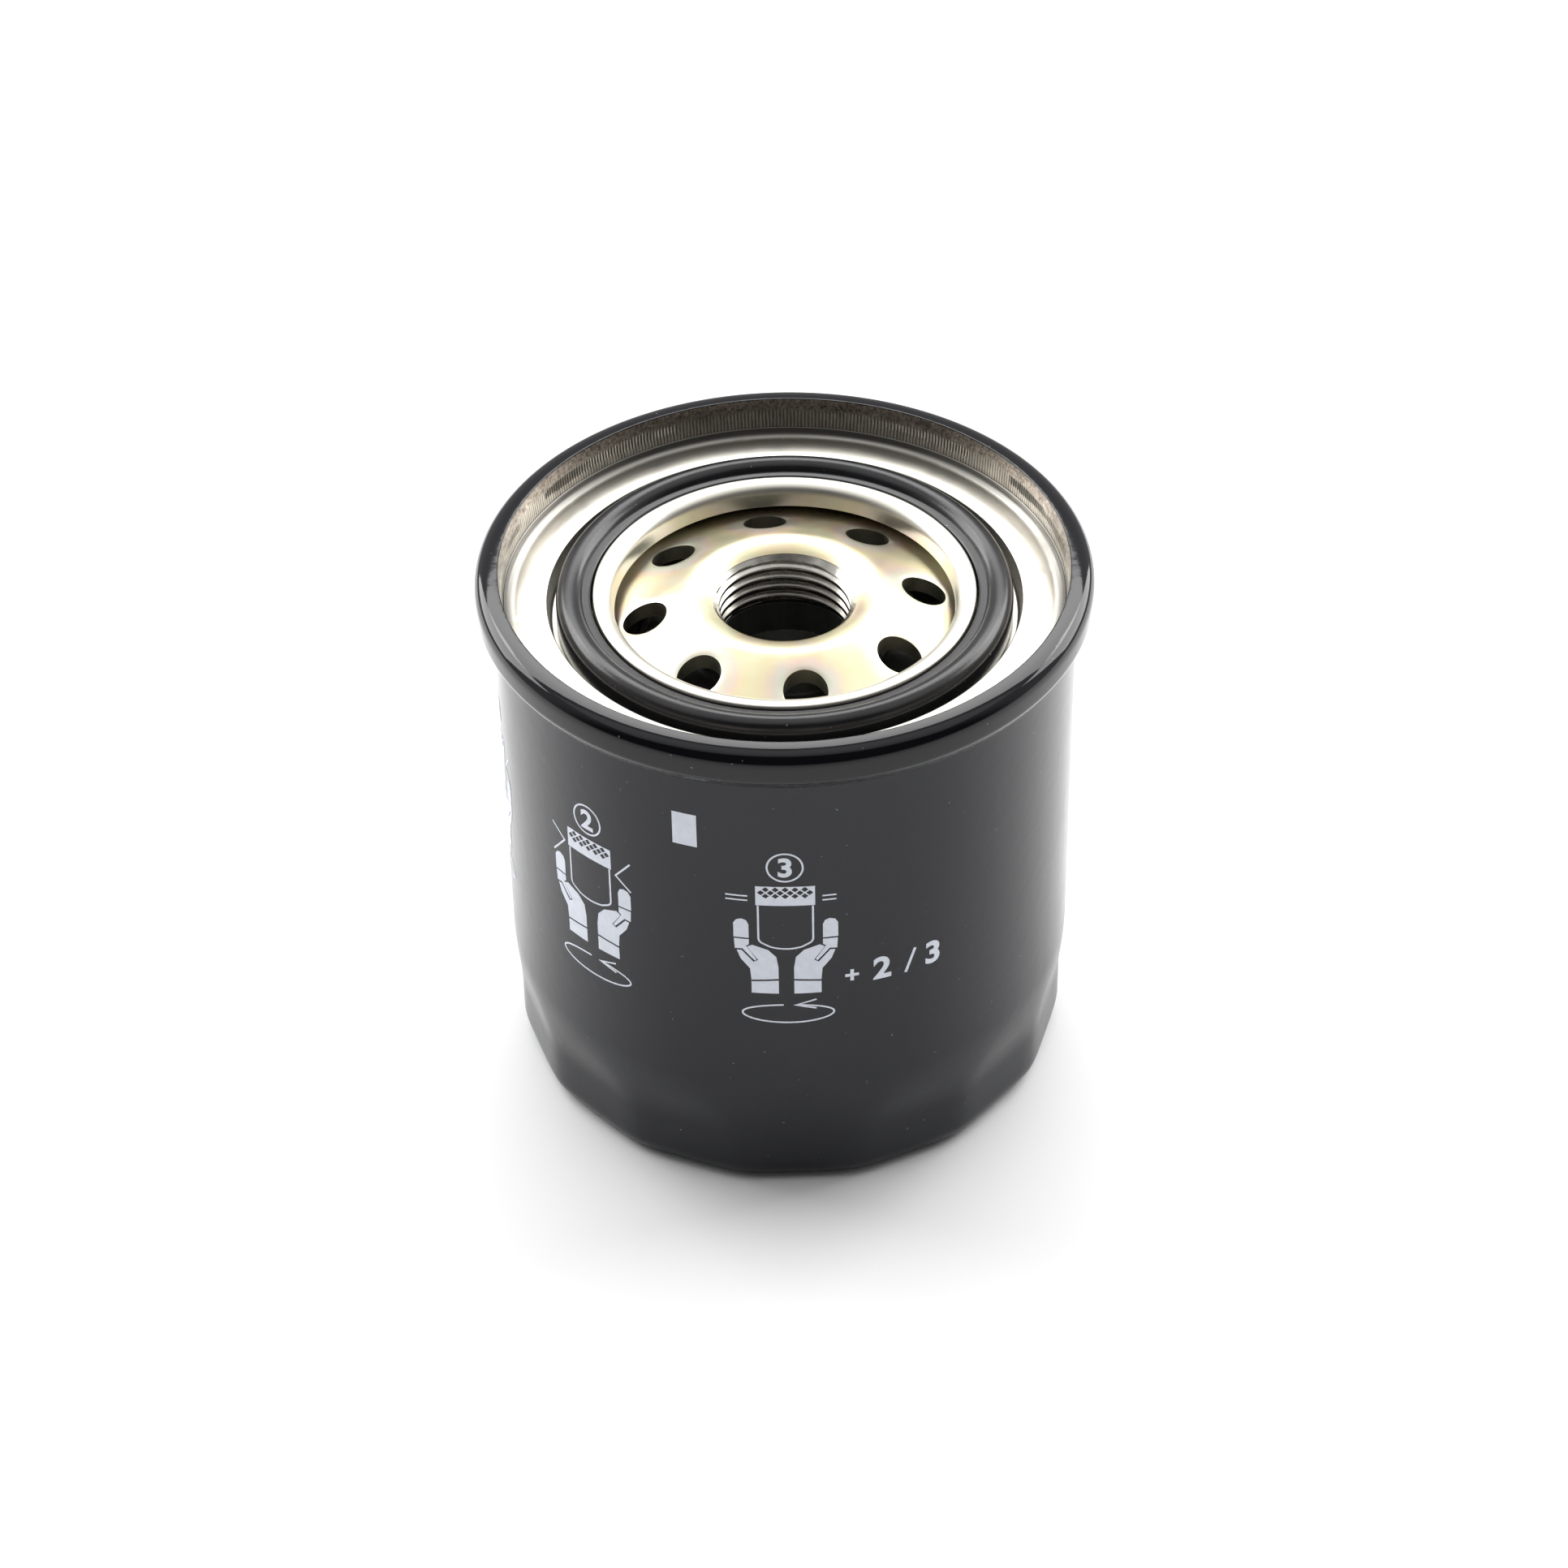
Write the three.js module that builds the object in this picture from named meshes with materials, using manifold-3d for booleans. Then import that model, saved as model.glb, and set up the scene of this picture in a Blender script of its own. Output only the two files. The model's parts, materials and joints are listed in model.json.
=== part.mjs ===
// Spin-on oil filter, in millimetres, +Z up. It stands on its closed end with the threaded end up.
// The origin is on the filter's axis, at the plane that the closed end rests on.
import * as THREE from "three";
import { mergeVertices } from "three/addons/utils/BufferGeometryUtils.js";
import Module from "manifold-3d";

const wasm = await Module();
wasm.setup();

// Driving dimensions. Radii are measured from the filter's axis.
const CAN_RADIUS = 39.7;
const CAN_WALL = 0.45;
const SEAM_RADIUS = 42;
const SEAM_TOP = 79.3;
const LID_SHEET = 0.6;
const FLUTE_COUNT = 15;
const FLUTE_FLAT_RADIUS = 38.5; // from the axis to the middle of a flat, at the closed end
const FLUTE_CORNER_RADIUS = 39.05;
const FLUTE_TOP = 19;
const FLUTE_FULL_DEPTH_HEIGHT = 9;
const FLUTE_TURN = 1.4; // degrees from -Y to the middle of the first flat
const BOTTOM_EDGE_RADIUS = 3;
const BOTTOM_PANEL_RADIUS = 21;
const BOTTOM_PANEL_RISE = 1;

const THREAD_MINOR_RADIUS = 8.9; // 3/4-16 UNF
const THREAD_TOP = 72.9;
const NECK_RADIUS = 11.5;
const NECK_BOTTOM = 65.6;
const PLATE_THICKNESS = 2.4;
const PLATE_CREST = 74.2;
const INLET_COUNT = 8;
const INLET_RADIUS = 3.02;
const INLET_CIRCLE_RADIUS = 19.2;
const INLET_TURN = 7.8; // degrees from +X to the first inlet hole

const GASKET_INNER = 26.4;
const GASKET_OUTER = 31.1;
const GASKET_TOP = 75.75;

const ELEMENT_TOP = 62.3;
const ELEMENT_BOTTOM = 13;
const CAP_RADIUS = 36.2;
const CAP_SHEET = 0.5;
const CAP_SKIRT = 4.8;
const CAP_HOLE_RADIUS = 11.3;
const POTTING_THICKNESS = 1.9;
const TUBE_RADIUS = 13;
const TUBE_WALL = 0.6;
const PLEAT_COUNT = 40;
const PLEAT_INNER = 13.7;
const PLEAT_OUTER = 35.2;
const PAPER = 0.6;
const GAP = 0.3; // clearance between pieces that touch or are bonded in the real filter

const BYPASS_WIRE = 0.9;
const BYPASS_COIL_RADIUS = 6.6;
const BYPASS_TURNS = 5;
const SUPPORT_WIRE = 1.8;
const SUPPORT_TURNS = 3;

const SHELL_SEGMENTS = 48;
const INNER_SEGMENTS = 32;
const SMALL_SEGMENTS = 24;

const filter = new THREE.Group();

// A finish for each material, shared by the meshes made of it.
const finish = (color, roughness, metalness) => () =>
  new THREE.MeshStandardMaterial({ color, roughness, metalness });
const blackPaint = finish(0x17181b, 0.28, 0.0);
const bareSteel = finish(0xb9b4a4, 0.35, 0.9);
const zincPlate = finish(0xe6dab0, 0.3, 0.9);
const plainSteel = finish(0x9a9a98, 0.4, 0.9);
const springSteel = finish(0x6f6f70, 0.35, 0.9);
const blackRubber = finish(0x1b1c20, 0.6, 0.0);
const brownRubber = finish(0x2a2422, 0.6, 0.0);
const filterPaper = finish(0xe2c98c, 0.9, 0.0);
const potting = finish(0xc9b38a, 0.7, 0.0);
const latex = finish(0x7d8a78, 0.7, 0.0);

const radians = THREE.MathUtils.degToRad;

// A closed profile of [radius, height] points turned round the Z axis, whichever way it is listed.
function turned(profile, segments, startDegrees = 0) {
  const points = profile.map(([radius, height]) => new THREE.Vector2(radius, height));
  points.push(points[0].clone());
  if (THREE.ShapeUtils.area(points) < 0) points.reverse();
  const lathe = new THREE.LatheGeometry(points, segments, radians(startDegrees));
  return lathe.rotateX(Math.PI / 2);
}

// Points of an arc in a profile, from one angle to another, both in degrees from the radial direction.
function arc(radius, height, size, from, to, steps) {
  const points = [];
  for (let i = 0; i <= steps; i++) {
    const angle = radians(from + ((to - from) * i) / steps);
    points.push([radius + size * Math.cos(angle), height + size * Math.sin(angle)]);
  }
  return points;
}

// A geometry as a manifold solid, for a cut or a join.
function solid(geometry) {
  const bare = new THREE.BufferGeometry();
  bare.setAttribute("position", geometry.getAttribute("position"));
  bare.setIndex(geometry.getIndex());
  const merged = mergeVertices(bare, 1e-4);
  return new wasm.Manifold(
    new wasm.Mesh({
      numProp: 3,
      vertProperties: merged.getAttribute("position").array,
      triVerts: new Uint32Array(merged.getIndex().array),
    }),
  );
}

// A manifold solid as a geometry.
function geometryOf(body) {
  const mesh = body.getMesh();
  const geometry = new THREE.BufferGeometry();
  geometry.setAttribute("position", new THREE.BufferAttribute(mesh.vertProperties, 3));
  geometry.setIndex(new THREE.BufferAttribute(mesh.triVerts, 1));
  geometry.computeVertexNormals();
  return geometry;
}

function cut(geometry, cutters) {
  return geometryOf(cutters.reduce((body, cutter) => body.subtract(solid(cutter)), solid(geometry)));
}

function add(name, geometry, material, parent = filter) {
  const mesh = new THREE.Mesh(geometry, material());
  mesh.name = name;
  parent.add(mesh);
  return mesh;
}

// A round wire along a helix whose radius runs from one value to another as it climbs.
class Helix extends THREE.Curve {
  constructor(bottomRadius, topRadius, bottom, top, turns) {
    super();
    Object.assign(this, { bottomRadius, topRadius, bottom, top, turns });
  }
  getPoint(t, target = new THREE.Vector3()) {
    const angle = 2 * Math.PI * this.turns * t;
    const radius = THREE.MathUtils.lerp(this.bottomRadius, this.topRadius, t);
    const height = THREE.MathUtils.lerp(this.bottom, this.top, t);
    return target.set(radius * Math.cos(angle), radius * Math.sin(angle), height);
  }
}

function wireAlong(curve, diameter, steps) {
  const section = new THREE.Shape();
  const sides = 6;
  for (let i = 0; i < sides; i++) {
    const angle = (2 * Math.PI * i) / sides;
    const x = (diameter / 2) * Math.cos(angle);
    const y = (diameter / 2) * Math.sin(angle);
    if (i === 0) section.moveTo(x, y);
    else section.lineTo(x, y);
  }
  return new THREE.ExtrudeGeometry(section, { extrudePath: curve, steps });
}

// How far a flat of the fluted closed end lies inside the round can, at an azimuth and a height.
function fluteDepth(azimuth, height) {
  const pitch = (2 * Math.PI) / FLUTE_COUNT;
  const fromFlat = azimuth - radians(FLUTE_TURN - 90);
  const inFlat = fromFlat - pitch * Math.round(fromFlat / pitch);
  const flat = Math.min(FLUTE_FLAT_RADIUS / Math.cos(inFlat), FLUTE_CORNER_RADIUS);
  const share = (FLUTE_TOP - height) / (FLUTE_TOP - FLUTE_FULL_DEPTH_HEIGHT);
  return (CAN_RADIUS - flat) * THREE.MathUtils.clamp(share, 0, 1);
}

// The can: flat resting ring, raised middle panel, fluted lower wall, and the hook of the double seam.
function makeCan() {
  const inside = CAN_RADIUS - CAN_WALL;
  const hookRadius = CAN_RADIUS + 0.5;
  const hookTop = 77.2;
  const hookEnd = 75;
  const hook = 0.95;
  const edgeFloor = CAN_RADIUS - BOTTOM_EDGE_RADIUS;
  const profile = [
    [0, BOTTOM_PANEL_RISE],
    [BOTTOM_PANEL_RADIUS, BOTTOM_PANEL_RISE],
    [BOTTOM_PANEL_RADIUS + 1, 0],
    ...arc(edgeFloor, BOTTOM_EDGE_RADIUS, BOTTOM_EDGE_RADIUS, -90, 0, 3),
    [CAN_RADIUS, FLUTE_FULL_DEPTH_HEIGHT],
    [CAN_RADIUS, FLUTE_TOP],
    ...arc(hookRadius, hookTop, hook - CAN_WALL, 180, 0, 2),
    [hookRadius + hook - CAN_WALL, hookEnd],
    [hookRadius + hook, hookEnd],
    ...arc(hookRadius, hookTop, hook, 0, 180, 3),
    [inside, FLUTE_TOP],
    [inside, FLUTE_FULL_DEPTH_HEIGHT],
    ...arc(edgeFloor, BOTTOM_EDGE_RADIUS, BOTTOM_EDGE_RADIUS - CAN_WALL, 0, -90, 2),
    [BOTTOM_PANEL_RADIUS + 1, CAN_WALL],
    [BOTTOM_PANEL_RADIUS, BOTTOM_PANEL_RISE + CAN_WALL],
    [0, BOTTOM_PANEL_RISE + CAN_WALL],
  ];
  const can = turned(profile, 4 * FLUTE_COUNT, FLUTE_TURN);
  const position = can.getAttribute("position");
  const flatFloor = edgeFloor - 1;
  for (let i = 0; i < position.count; i++) {
    const radius = Math.hypot(position.getX(i), position.getY(i));
    if (radius <= flatFloor) continue;
    const azimuth = Math.atan2(position.getY(i), position.getX(i));
    const share = Math.min(1, (radius - flatFloor) / (CAN_RADIUS - flatFloor));
    const scale = 1 - (share * fluteDepth(azimuth, position.getZ(i))) / radius;
    position.setXY(i, position.getX(i) * scale, position.getY(i) * scale);
  }
  return can;
}

// The lid: inner bead, gasket groove, land, chuck wall, rounded seam top and the hook under the can's hook.
function makeLid() {
  const profile = [
    [23.3, 71.7],
    [23.6, 73.8],
    [24.5, 74.8],
    [25.6, 74.85],
    [26.1, 74.3],
    [26.1, 70.9],
    [31.7, 70.9],
    [31.9, 73.5],
    [32.3, 73.9],
    [34.6, 74.05],
    [36.7, 73.6],
    [37.7, 73.7],
    [38.15, 74.67],
    [38.75, SEAM_TOP],
    [39.2, SEAM_TOP],
    [40.5, 78.98],
    [41.6, 78.1],
    [SEAM_RADIUS, 76.9],
    [SEAM_RADIUS, 75.2],
    [40.9, 73.3],
    [39.95, 74],
    [39.95, 76.6],
    [40.4, 76.6],
    [40.4, 74.5],
    [40.9, 74.2],
    [41.45, 75.2],
    [41.45, 76.8],
    [41.05, 77.8],
    [40.1, 78.5],
    [39.5, 78.7],
    [39.15, 77.8],
    [38.65, 74.6],
    [38.1, 73.1],
    [36.7, 73],
    [34.6, 73.45],
    [32.6, 73.3],
    [32.5, 70.9 - LID_SHEET],
    [25.5, 70.9 - LID_SHEET],
    [25.5, 74],
    [24.6, 74.1],
    [24.1, 73.5],
    [23.9, 71.7],
  ];
  return turned(profile, SHELL_SEGMENTS);
}

// The thread plate: crowned middle with a drawn neck, a trough under the gasket groove and a raised rim.
function makeThreadPlate() {
  const neckRoot = 70.8;
  const troughTop = 69.9;
  const troughFloor = troughTop - PLATE_THICKNESS;
  const rimTop = 72.2;
  const profile = [
    [THREAD_MINOR_RADIUS, NECK_BOTTOM],
    [THREAD_MINOR_RADIUS, THREAD_TOP],
    [10.25, 73.5],
    [11.6, PLATE_CREST - 0.15],
    [13.3, PLATE_CREST],
    [15, 73.75],
    [19.2, 72.1],
    [25, troughTop],
    [32.9, troughTop],
    [34, rimTop],
    [37.6, rimTop],
    [37.6, rimTop - PLATE_THICKNESS],
    [34.9, rimTop - PLATE_THICKNESS],
    [33.8, troughFloor],
    [24.6, troughFloor],
    [18.4, 70],
    [14.2, 71.5],
    [12.4, 71.5],
    [NECK_RADIUS, neckRoot],
    [NECK_RADIUS, NECK_BOTTOM],
  ];
  const inlets = [];
  for (let i = 0; i < INLET_COUNT; i++) {
    const azimuth = radians(INLET_TURN) + (2 * Math.PI * i) / INLET_COUNT;
    const drill = new THREE.CylinderGeometry(INLET_RADIUS, INLET_RADIUS, 12, 12);
    drill.rotateX(Math.PI / 2);
    drill.translate(INLET_CIRCLE_RADIUS * Math.cos(azimuth), INLET_CIRCLE_RADIUS * Math.sin(azimuth), 71);
    inlets.push(drill);
  }
  return cut(turned(profile, SHELL_SEGMENTS), inlets);
}

// The sealing gasket: a flat inner land and a rounded outer bead, seated in the lid's groove.
function makeGasket() {
  const landTop = 74.6;
  const profile = [
    [GASKET_INNER, 71.2],
    [GASKET_INNER, landTop],
    [27.4, landTop],
    [28, GASKET_TOP - 0.4],
    [28.6, GASKET_TOP],
    [29.8, GASKET_TOP],
    [30.8, GASKET_TOP - 0.6],
    [GASKET_OUTER, GASKET_TOP - 1.8],
    [GASKET_OUTER, 71.2],
  ];
  return turned(profile, SHELL_SEGMENTS);
}

// The compound that fills the top of the double seam, between the can's hook and the lid.
function makeSeamCompound() {
  const profile = [
    [39.6, 78.2],
    [40.2, 78.2],
    [40, 78.42],
    [39.65, 78.5],
  ];
  return turned(profile, SHELL_SEGMENTS);
}

// The anti-drain valve: a sleeve round the neck and a dished lip that closes the inlet holes from below.
function makeAntiDrainValve() {
  const profile = [
    [11.9, 65],
    [11.9, 69],
    [13.2, 69],
    [13.8, 66.8],
    [20, 66.4],
    [26.5, 66.4],
    [28.4, 67.3],
    [29, 67.1],
    [28.4, 66],
    [26.8, 65.2],
    [20, 65],
    [13.6, 65],
  ];
  return turned(profile, INNER_SEGMENTS);
}

// The grommet that seals the element to the neck; it snaps into the upper end cap's hole.
function makeElementSeal() {
  const groove = CAP_HOLE_RADIUS - GAP;
  const profile = [
    [9.4, 60.4],
    [9.4, NECK_BOTTOM - GAP],
    [11.2, NECK_BOTTOM - GAP],
    [11.4, 63.3],
    [13.3, 63.1],
    [13.3, ELEMENT_TOP + GAP],
    [groove, ELEMENT_TOP + GAP],
    [groove, ELEMENT_TOP - CAP_SHEET - GAP],
    [12, 61.3],
    [12, 60.4],
  ];
  return turned(profile, SMALL_SEGMENTS);
}

// An end cap of the element, as a disc with a hole and an outer skirt that points down.
function makeEndCap(holeRadius) {
  const profile = [
    [holeRadius, 0],
    [CAP_RADIUS, 0],
    [CAP_RADIUS, -CAP_SKIRT],
    [CAP_RADIUS - CAP_SHEET, -CAP_SKIRT],
    [CAP_RADIUS - CAP_SHEET, -CAP_SHEET],
    [holeRadius, -CAP_SHEET],
  ];
  return turned(profile, INNER_SEGMENTS);
}

// A disc of potting between an end cap and the paper, standing on the XY plane.
function makePotting() {
  const profile = [
    [TUBE_RADIUS + GAP, 0],
    [PLEAT_OUTER, 0],
    [PLEAT_OUTER, POTTING_THICKNESS],
    [TUBE_RADIUS + GAP, POTTING_THICKNESS],
  ];
  return turned(profile, INNER_SEGMENTS);
}

// One boundary of the folded paper: each pleat has a flat outer fold and a flat inner fold.
function pleatOutline(outerRadius, outerHalf, innerRadius, innerHalf) {
  const pitch = (2 * Math.PI) / PLEAT_COUNT;
  const points = [];
  const place = (radius, angle) =>
    points.push(new THREE.Vector2(radius * Math.cos(angle), radius * Math.sin(angle)));
  for (let i = 0; i < PLEAT_COUNT; i++) {
    const outer = i * pitch;
    const inner = outer + pitch / 2;
    place(outerRadius, outer - outerHalf / outerRadius);
    place(outerRadius, outer + outerHalf / outerRadius);
    place(innerRadius, inner - innerHalf / innerRadius);
    place(innerRadius, inner + innerHalf / innerRadius);
  }
  return points;
}

// The pleated paper, standing on the XY plane.
function makePaper(height) {
  const outerFold = 1.1;
  const innerFold = 0.8;
  const paper = new THREE.Shape(
    pleatOutline(PLEAT_OUTER, outerFold, PLEAT_INNER + PAPER, innerFold - PAPER),
  );
  const inside = pleatOutline(PLEAT_OUTER - PAPER, outerFold - PAPER, PLEAT_INNER, innerFold);
  paper.holes.push(new THREE.Path(inside));
  return new THREE.ExtrudeGeometry(paper, { depth: height, bevelEnabled: false });
}

// The channel crimped over the paper's joint, in the valley between two pleats.
function makeClip(height) {
  const near = 29.5;
  const far = 33.5;
  const half = 0.8;
  const sheet = 0.4;
  const section = new THREE.Shape();
  section.moveTo(near, -half);
  section.lineTo(far, -half);
  section.lineTo(far, half);
  section.lineTo(near, half);
  section.lineTo(near, half - sheet);
  section.lineTo(far - sheet, half - sheet);
  section.lineTo(far - sheet, sheet - half);
  section.lineTo(near, sheet - half);
  const clip = new THREE.ExtrudeGeometry(section, { depth: height, bevelEnabled: false });
  return clip.rotateZ(Math.PI / PLEAT_COUNT);
}

// The perforated tube inside the paper, standing on the XY plane.
function makeCentreTube(height) {
  const rows = 4;
  const holesInRow = 6;
  const profile = [
    [TUBE_RADIUS - TUBE_WALL, 0],
    [TUBE_RADIUS, 0],
    [TUBE_RADIUS, height],
    [TUBE_RADIUS - TUBE_WALL, height],
  ];
  const punches = [];
  for (let row = 0; row < rows; row++) {
    for (let i = 0; i < holesInRow / 2; i++) {
      const punch = new THREE.CylinderGeometry(2, 2, 4 * TUBE_RADIUS, 6);
      punch.rotateZ(Math.PI / 2);
      punch.rotateZ((2 * Math.PI * (i + (row % 2) / 2)) / holesInRow);
      punch.translate(0, 0, (height * (row + 1)) / (rows + 1));
      punches.push(punch);
    }
  }
  return cut(turned(profile, SMALL_SEGMENTS), punches);
}

// Heights of the bypass valve, from the lower end cap up.
const SEAT_FLOOR = ELEMENT_BOTTOM + CAP_SHEET + GAP;
const SEAT_LIP = SEAT_FLOOR + 1.4;
const SEAL_FLOOR = SEAT_LIP + 0.2;
const SEAL_TOP = SEAL_FLOOR + 1.2;
const POPPET_FLOOR = SEAL_TOP + 0.2;
const POPPET_TOP = POPPET_FLOOR + 0.8;
const CAGE_FLOOR = SEAT_FLOOR + 0.9;
const CAGE_TOP = 34;
const STEM_RADIUS = 1.5;
const STEM_TOP = CAGE_TOP + 3.5;

// The valve seat: a flange on the lower end cap with a raised lip round the bypass hole.
function makeBypassSeat() {
  const profile = [
    [5.6, SEAT_FLOOR],
    [12, SEAT_FLOOR],
    [12, SEAT_FLOOR + 0.6],
    [7, SEAT_FLOOR + 0.6],
    [6.4, SEAT_LIP],
    [5.6, SEAT_LIP],
  ];
  return turned(profile, SMALL_SEGMENTS);
}

// The cage: a foot flange, a wall with four windows, and a top that guides the stem.
function makeBypassCage() {
  const sheet = 0.5;
  const wall = 9.8;
  const guide = STEM_RADIUS + 0.3;
  const profile = [
    [wall - sheet, CAGE_FLOOR],
    [12, CAGE_FLOOR],
    [12, CAGE_FLOOR + sheet],
    [wall, CAGE_FLOOR + sheet],
    [wall, CAGE_TOP],
    [guide, CAGE_TOP],
    [guide, CAGE_TOP - sheet],
    [wall - sheet, CAGE_TOP - sheet],
  ];
  const windows = [0, 1].map((i) => {
    const window = new THREE.BoxGeometry(30, 7, 11);
    window.rotateZ((i * Math.PI) / 2);
    return window.translate(0, 0, 24.5);
  });
  return cut(turned(profile, SMALL_SEGMENTS), windows);
}

// The poppet: a shallow cup that presses the rubber seal on the seat and centres the spring.
function makePoppet() {
  const hole = STEM_RADIUS + GAP;
  const profile = [
    [hole, POPPET_FLOOR],
    [8, POPPET_FLOOR],
    [8, POPPET_TOP + 0.8],
    [7.5, POPPET_TOP + 0.8],
    [7.5, POPPET_TOP],
    [hole, POPPET_TOP],
  ];
  return turned(profile, SMALL_SEGMENTS);
}

function makePoppetSeal() {
  const hole = STEM_RADIUS + GAP;
  const profile = [
    [hole, SEAL_FLOOR],
    [7.8, SEAL_FLOOR],
    [7.8, SEAL_TOP],
    [hole, SEAL_TOP],
  ];
  return turned(profile, SMALL_SEGMENTS);
}

// The stem: a rivet with its head under the seal and its shank up through the cage.
function makeStem() {
  const headTop = SEAL_FLOOR - 0.2;
  const profile = [
    [0, headTop - 0.8],
    [3, headTop - 0.8],
    [3.4, headTop],
    [STEM_RADIUS, headTop],
    [STEM_RADIUS, STEM_TOP - 0.5],
    [STEM_RADIUS - 0.5, STEM_TOP],
    [0, STEM_TOP],
  ];
  return turned(profile, 12);
}

// The cup between the element and its support spring, open in the middle for the bypass flow.
function makeSpringSeat() {
  const top = ELEMENT_BOTTOM - GAP;
  const profile = [
    [9, top - 0.6],
    [9, top],
    [22, top],
    [22, top - 2.2],
    [21.4, top - 2.2],
    [21.4, top - 0.6],
  ];
  return turned(profile, INNER_SEGMENTS);
}

function makeBypassSpring() {
  const bottom = POPPET_TOP + BYPASS_WIRE / 2 + 0.15;
  const top = CAGE_TOP - 0.5 - BYPASS_WIRE / 2 - 0.15;
  const helix = new Helix(BYPASS_COIL_RADIUS, BYPASS_COIL_RADIUS, bottom, top, BYPASS_TURNS);
  return wireAlong(helix, BYPASS_WIRE, 14 * BYPASS_TURNS);
}

function makeSupportSpring() {
  const bottom = BOTTOM_PANEL_RISE + CAN_WALL + SUPPORT_WIRE / 2 + 0.2;
  const top = ELEMENT_BOTTOM - GAP - 0.6 - SUPPORT_WIRE / 2 - 0.2;
  return wireAlong(new Helix(14, 19.5, bottom, top, SUPPORT_TURNS), SUPPORT_WIRE, 18 * SUPPORT_TURNS);
}

// Housing.
add("can", makeCan(), blackPaint);
add("seam_lid", makeLid(), bareSteel);
add("seam_compound", makeSeamCompound(), latex);
add("thread_plate", makeThreadPlate(), zincPlate);
add("gasket", makeGasket(), blackRubber);
add("anti_drain_valve", makeAntiDrainValve(), blackRubber);

// Element, from its upper end cap down.
const element = new THREE.Group();
filter.add(element);
const capInside = ELEMENT_TOP - CAP_SHEET - GAP;
const floorInside = ELEMENT_BOTTOM + CAP_SHEET + GAP;
const paperFloor = floorInside + POTTING_THICKNESS + GAP;
const paperTop = capInside - POTTING_THICKNESS - GAP;
add("element_seal", makeElementSeal(), brownRubber, element);
add("upper_end_cap", makeEndCap(CAP_HOLE_RADIUS), plainSteel, element).position.z = ELEMENT_TOP;
const lowerCap = add("lower_end_cap", makeEndCap(8.5), plainSteel, element);
lowerCap.rotation.x = Math.PI;
lowerCap.position.z = ELEMENT_BOTTOM;
add("upper_adhesive", makePotting(), potting, element).position.z = capInside - POTTING_THICKNESS;
add("lower_adhesive", makePotting(), potting, element).position.z = floorInside;
add("pleated_media", makePaper(paperTop - paperFloor), filterPaper, element).position.z = paperFloor;
add("media_clip", makeClip(paperTop - paperFloor), plainSteel, element).position.z = paperFloor;
const tubeFloor = SEAT_FLOOR + 0.6 + GAP;
add("centre_tube", makeCentreTube(capInside - tubeFloor), plainSteel, element).position.z = tubeFloor;

// Bypass valve, in the element's closed end.
add("bypass_seat", makeBypassSeat(), plainSteel, element);
add("bypass_cage", makeBypassCage(), plainSteel, element);
add("bypass_poppet", makePoppet(), plainSteel, element);
add("poppet_seal", makePoppetSeal(), blackRubber, element);
add("poppet_stem", makeStem(), plainSteel, element);
add("bypass_spring", makeBypassSpring(), springSteel, element);

// Support of the element.
add("spring_seat", makeSpringSeat(), plainSteel);
add("element_spring", makeSupportSpring(), springSteel);

export default filter;
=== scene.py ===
"""Looks of a spin-on oil filter: detailed meshes and materials built round its CAD frame.

Profiles are lists of (radius, height, fillet) in millimetres from the axis and the resting plane.
"""
import json
import math

import bmesh
import bpy
import numpy as np
from mathutils import Matrix, Vector

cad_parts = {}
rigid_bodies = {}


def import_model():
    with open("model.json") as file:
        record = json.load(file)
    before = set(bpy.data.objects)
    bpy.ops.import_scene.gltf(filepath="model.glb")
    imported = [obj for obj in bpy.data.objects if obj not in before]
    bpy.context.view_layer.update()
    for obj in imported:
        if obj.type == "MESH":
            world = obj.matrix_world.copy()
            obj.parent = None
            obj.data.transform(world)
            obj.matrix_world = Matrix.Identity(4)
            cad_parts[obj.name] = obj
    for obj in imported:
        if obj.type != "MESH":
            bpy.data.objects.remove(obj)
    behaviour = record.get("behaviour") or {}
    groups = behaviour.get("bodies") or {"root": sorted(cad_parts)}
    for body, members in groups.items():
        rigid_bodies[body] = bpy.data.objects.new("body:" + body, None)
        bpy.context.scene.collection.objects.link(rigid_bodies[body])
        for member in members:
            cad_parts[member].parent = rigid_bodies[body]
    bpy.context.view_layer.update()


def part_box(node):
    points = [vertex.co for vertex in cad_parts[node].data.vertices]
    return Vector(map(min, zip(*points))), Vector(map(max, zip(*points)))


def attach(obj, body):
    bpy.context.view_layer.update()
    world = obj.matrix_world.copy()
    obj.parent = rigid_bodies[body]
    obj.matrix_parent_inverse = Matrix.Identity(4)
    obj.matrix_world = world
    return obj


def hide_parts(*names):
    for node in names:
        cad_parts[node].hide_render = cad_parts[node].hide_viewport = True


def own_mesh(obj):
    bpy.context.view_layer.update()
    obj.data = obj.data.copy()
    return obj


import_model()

MM = 0.001
TAU = 2 * math.pi


def reach(node):
    """A CAD node's largest radius, lowest height and highest height, in millimetres."""
    low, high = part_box(node)
    return high.x / MM, low.z / MM, high.z / MM


# Driving dimensions, from the frame where it has them.
SEAM_R, _, SEAM_TOP = reach("seam_lid")
GASKET_TOP = reach("gasket")[2]
CAP_R, _, ELEMENT_TOP = reach("upper_end_cap")
ELEMENT_FLOOR = reach("lower_end_cap")[1]
_, PAPER_FLOOR, PAPER_TOP = reach("pleated_media")
TUBE_R, TUBE_FLOOR, TUBE_TOP = reach("centre_tube")
CAN_R = SEAM_R - 2.3
CAN_WALL = 0.45
FLUTES = 15
FLAT_R = 38.5
CORNER_R = 39.05
FLUTE_TOP = 19.5
FLUTE_FULL = 8.5
FIRST_FLAT = math.radians(-88.6)
INLETS = 8
INLET_R = 3.02
INLET_CIRCLE = 19.2
FIRST_INLET = math.radians(7.8)
THREAD_MINOR = 8.9
THREAD_DEPTH = 0.625
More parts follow.
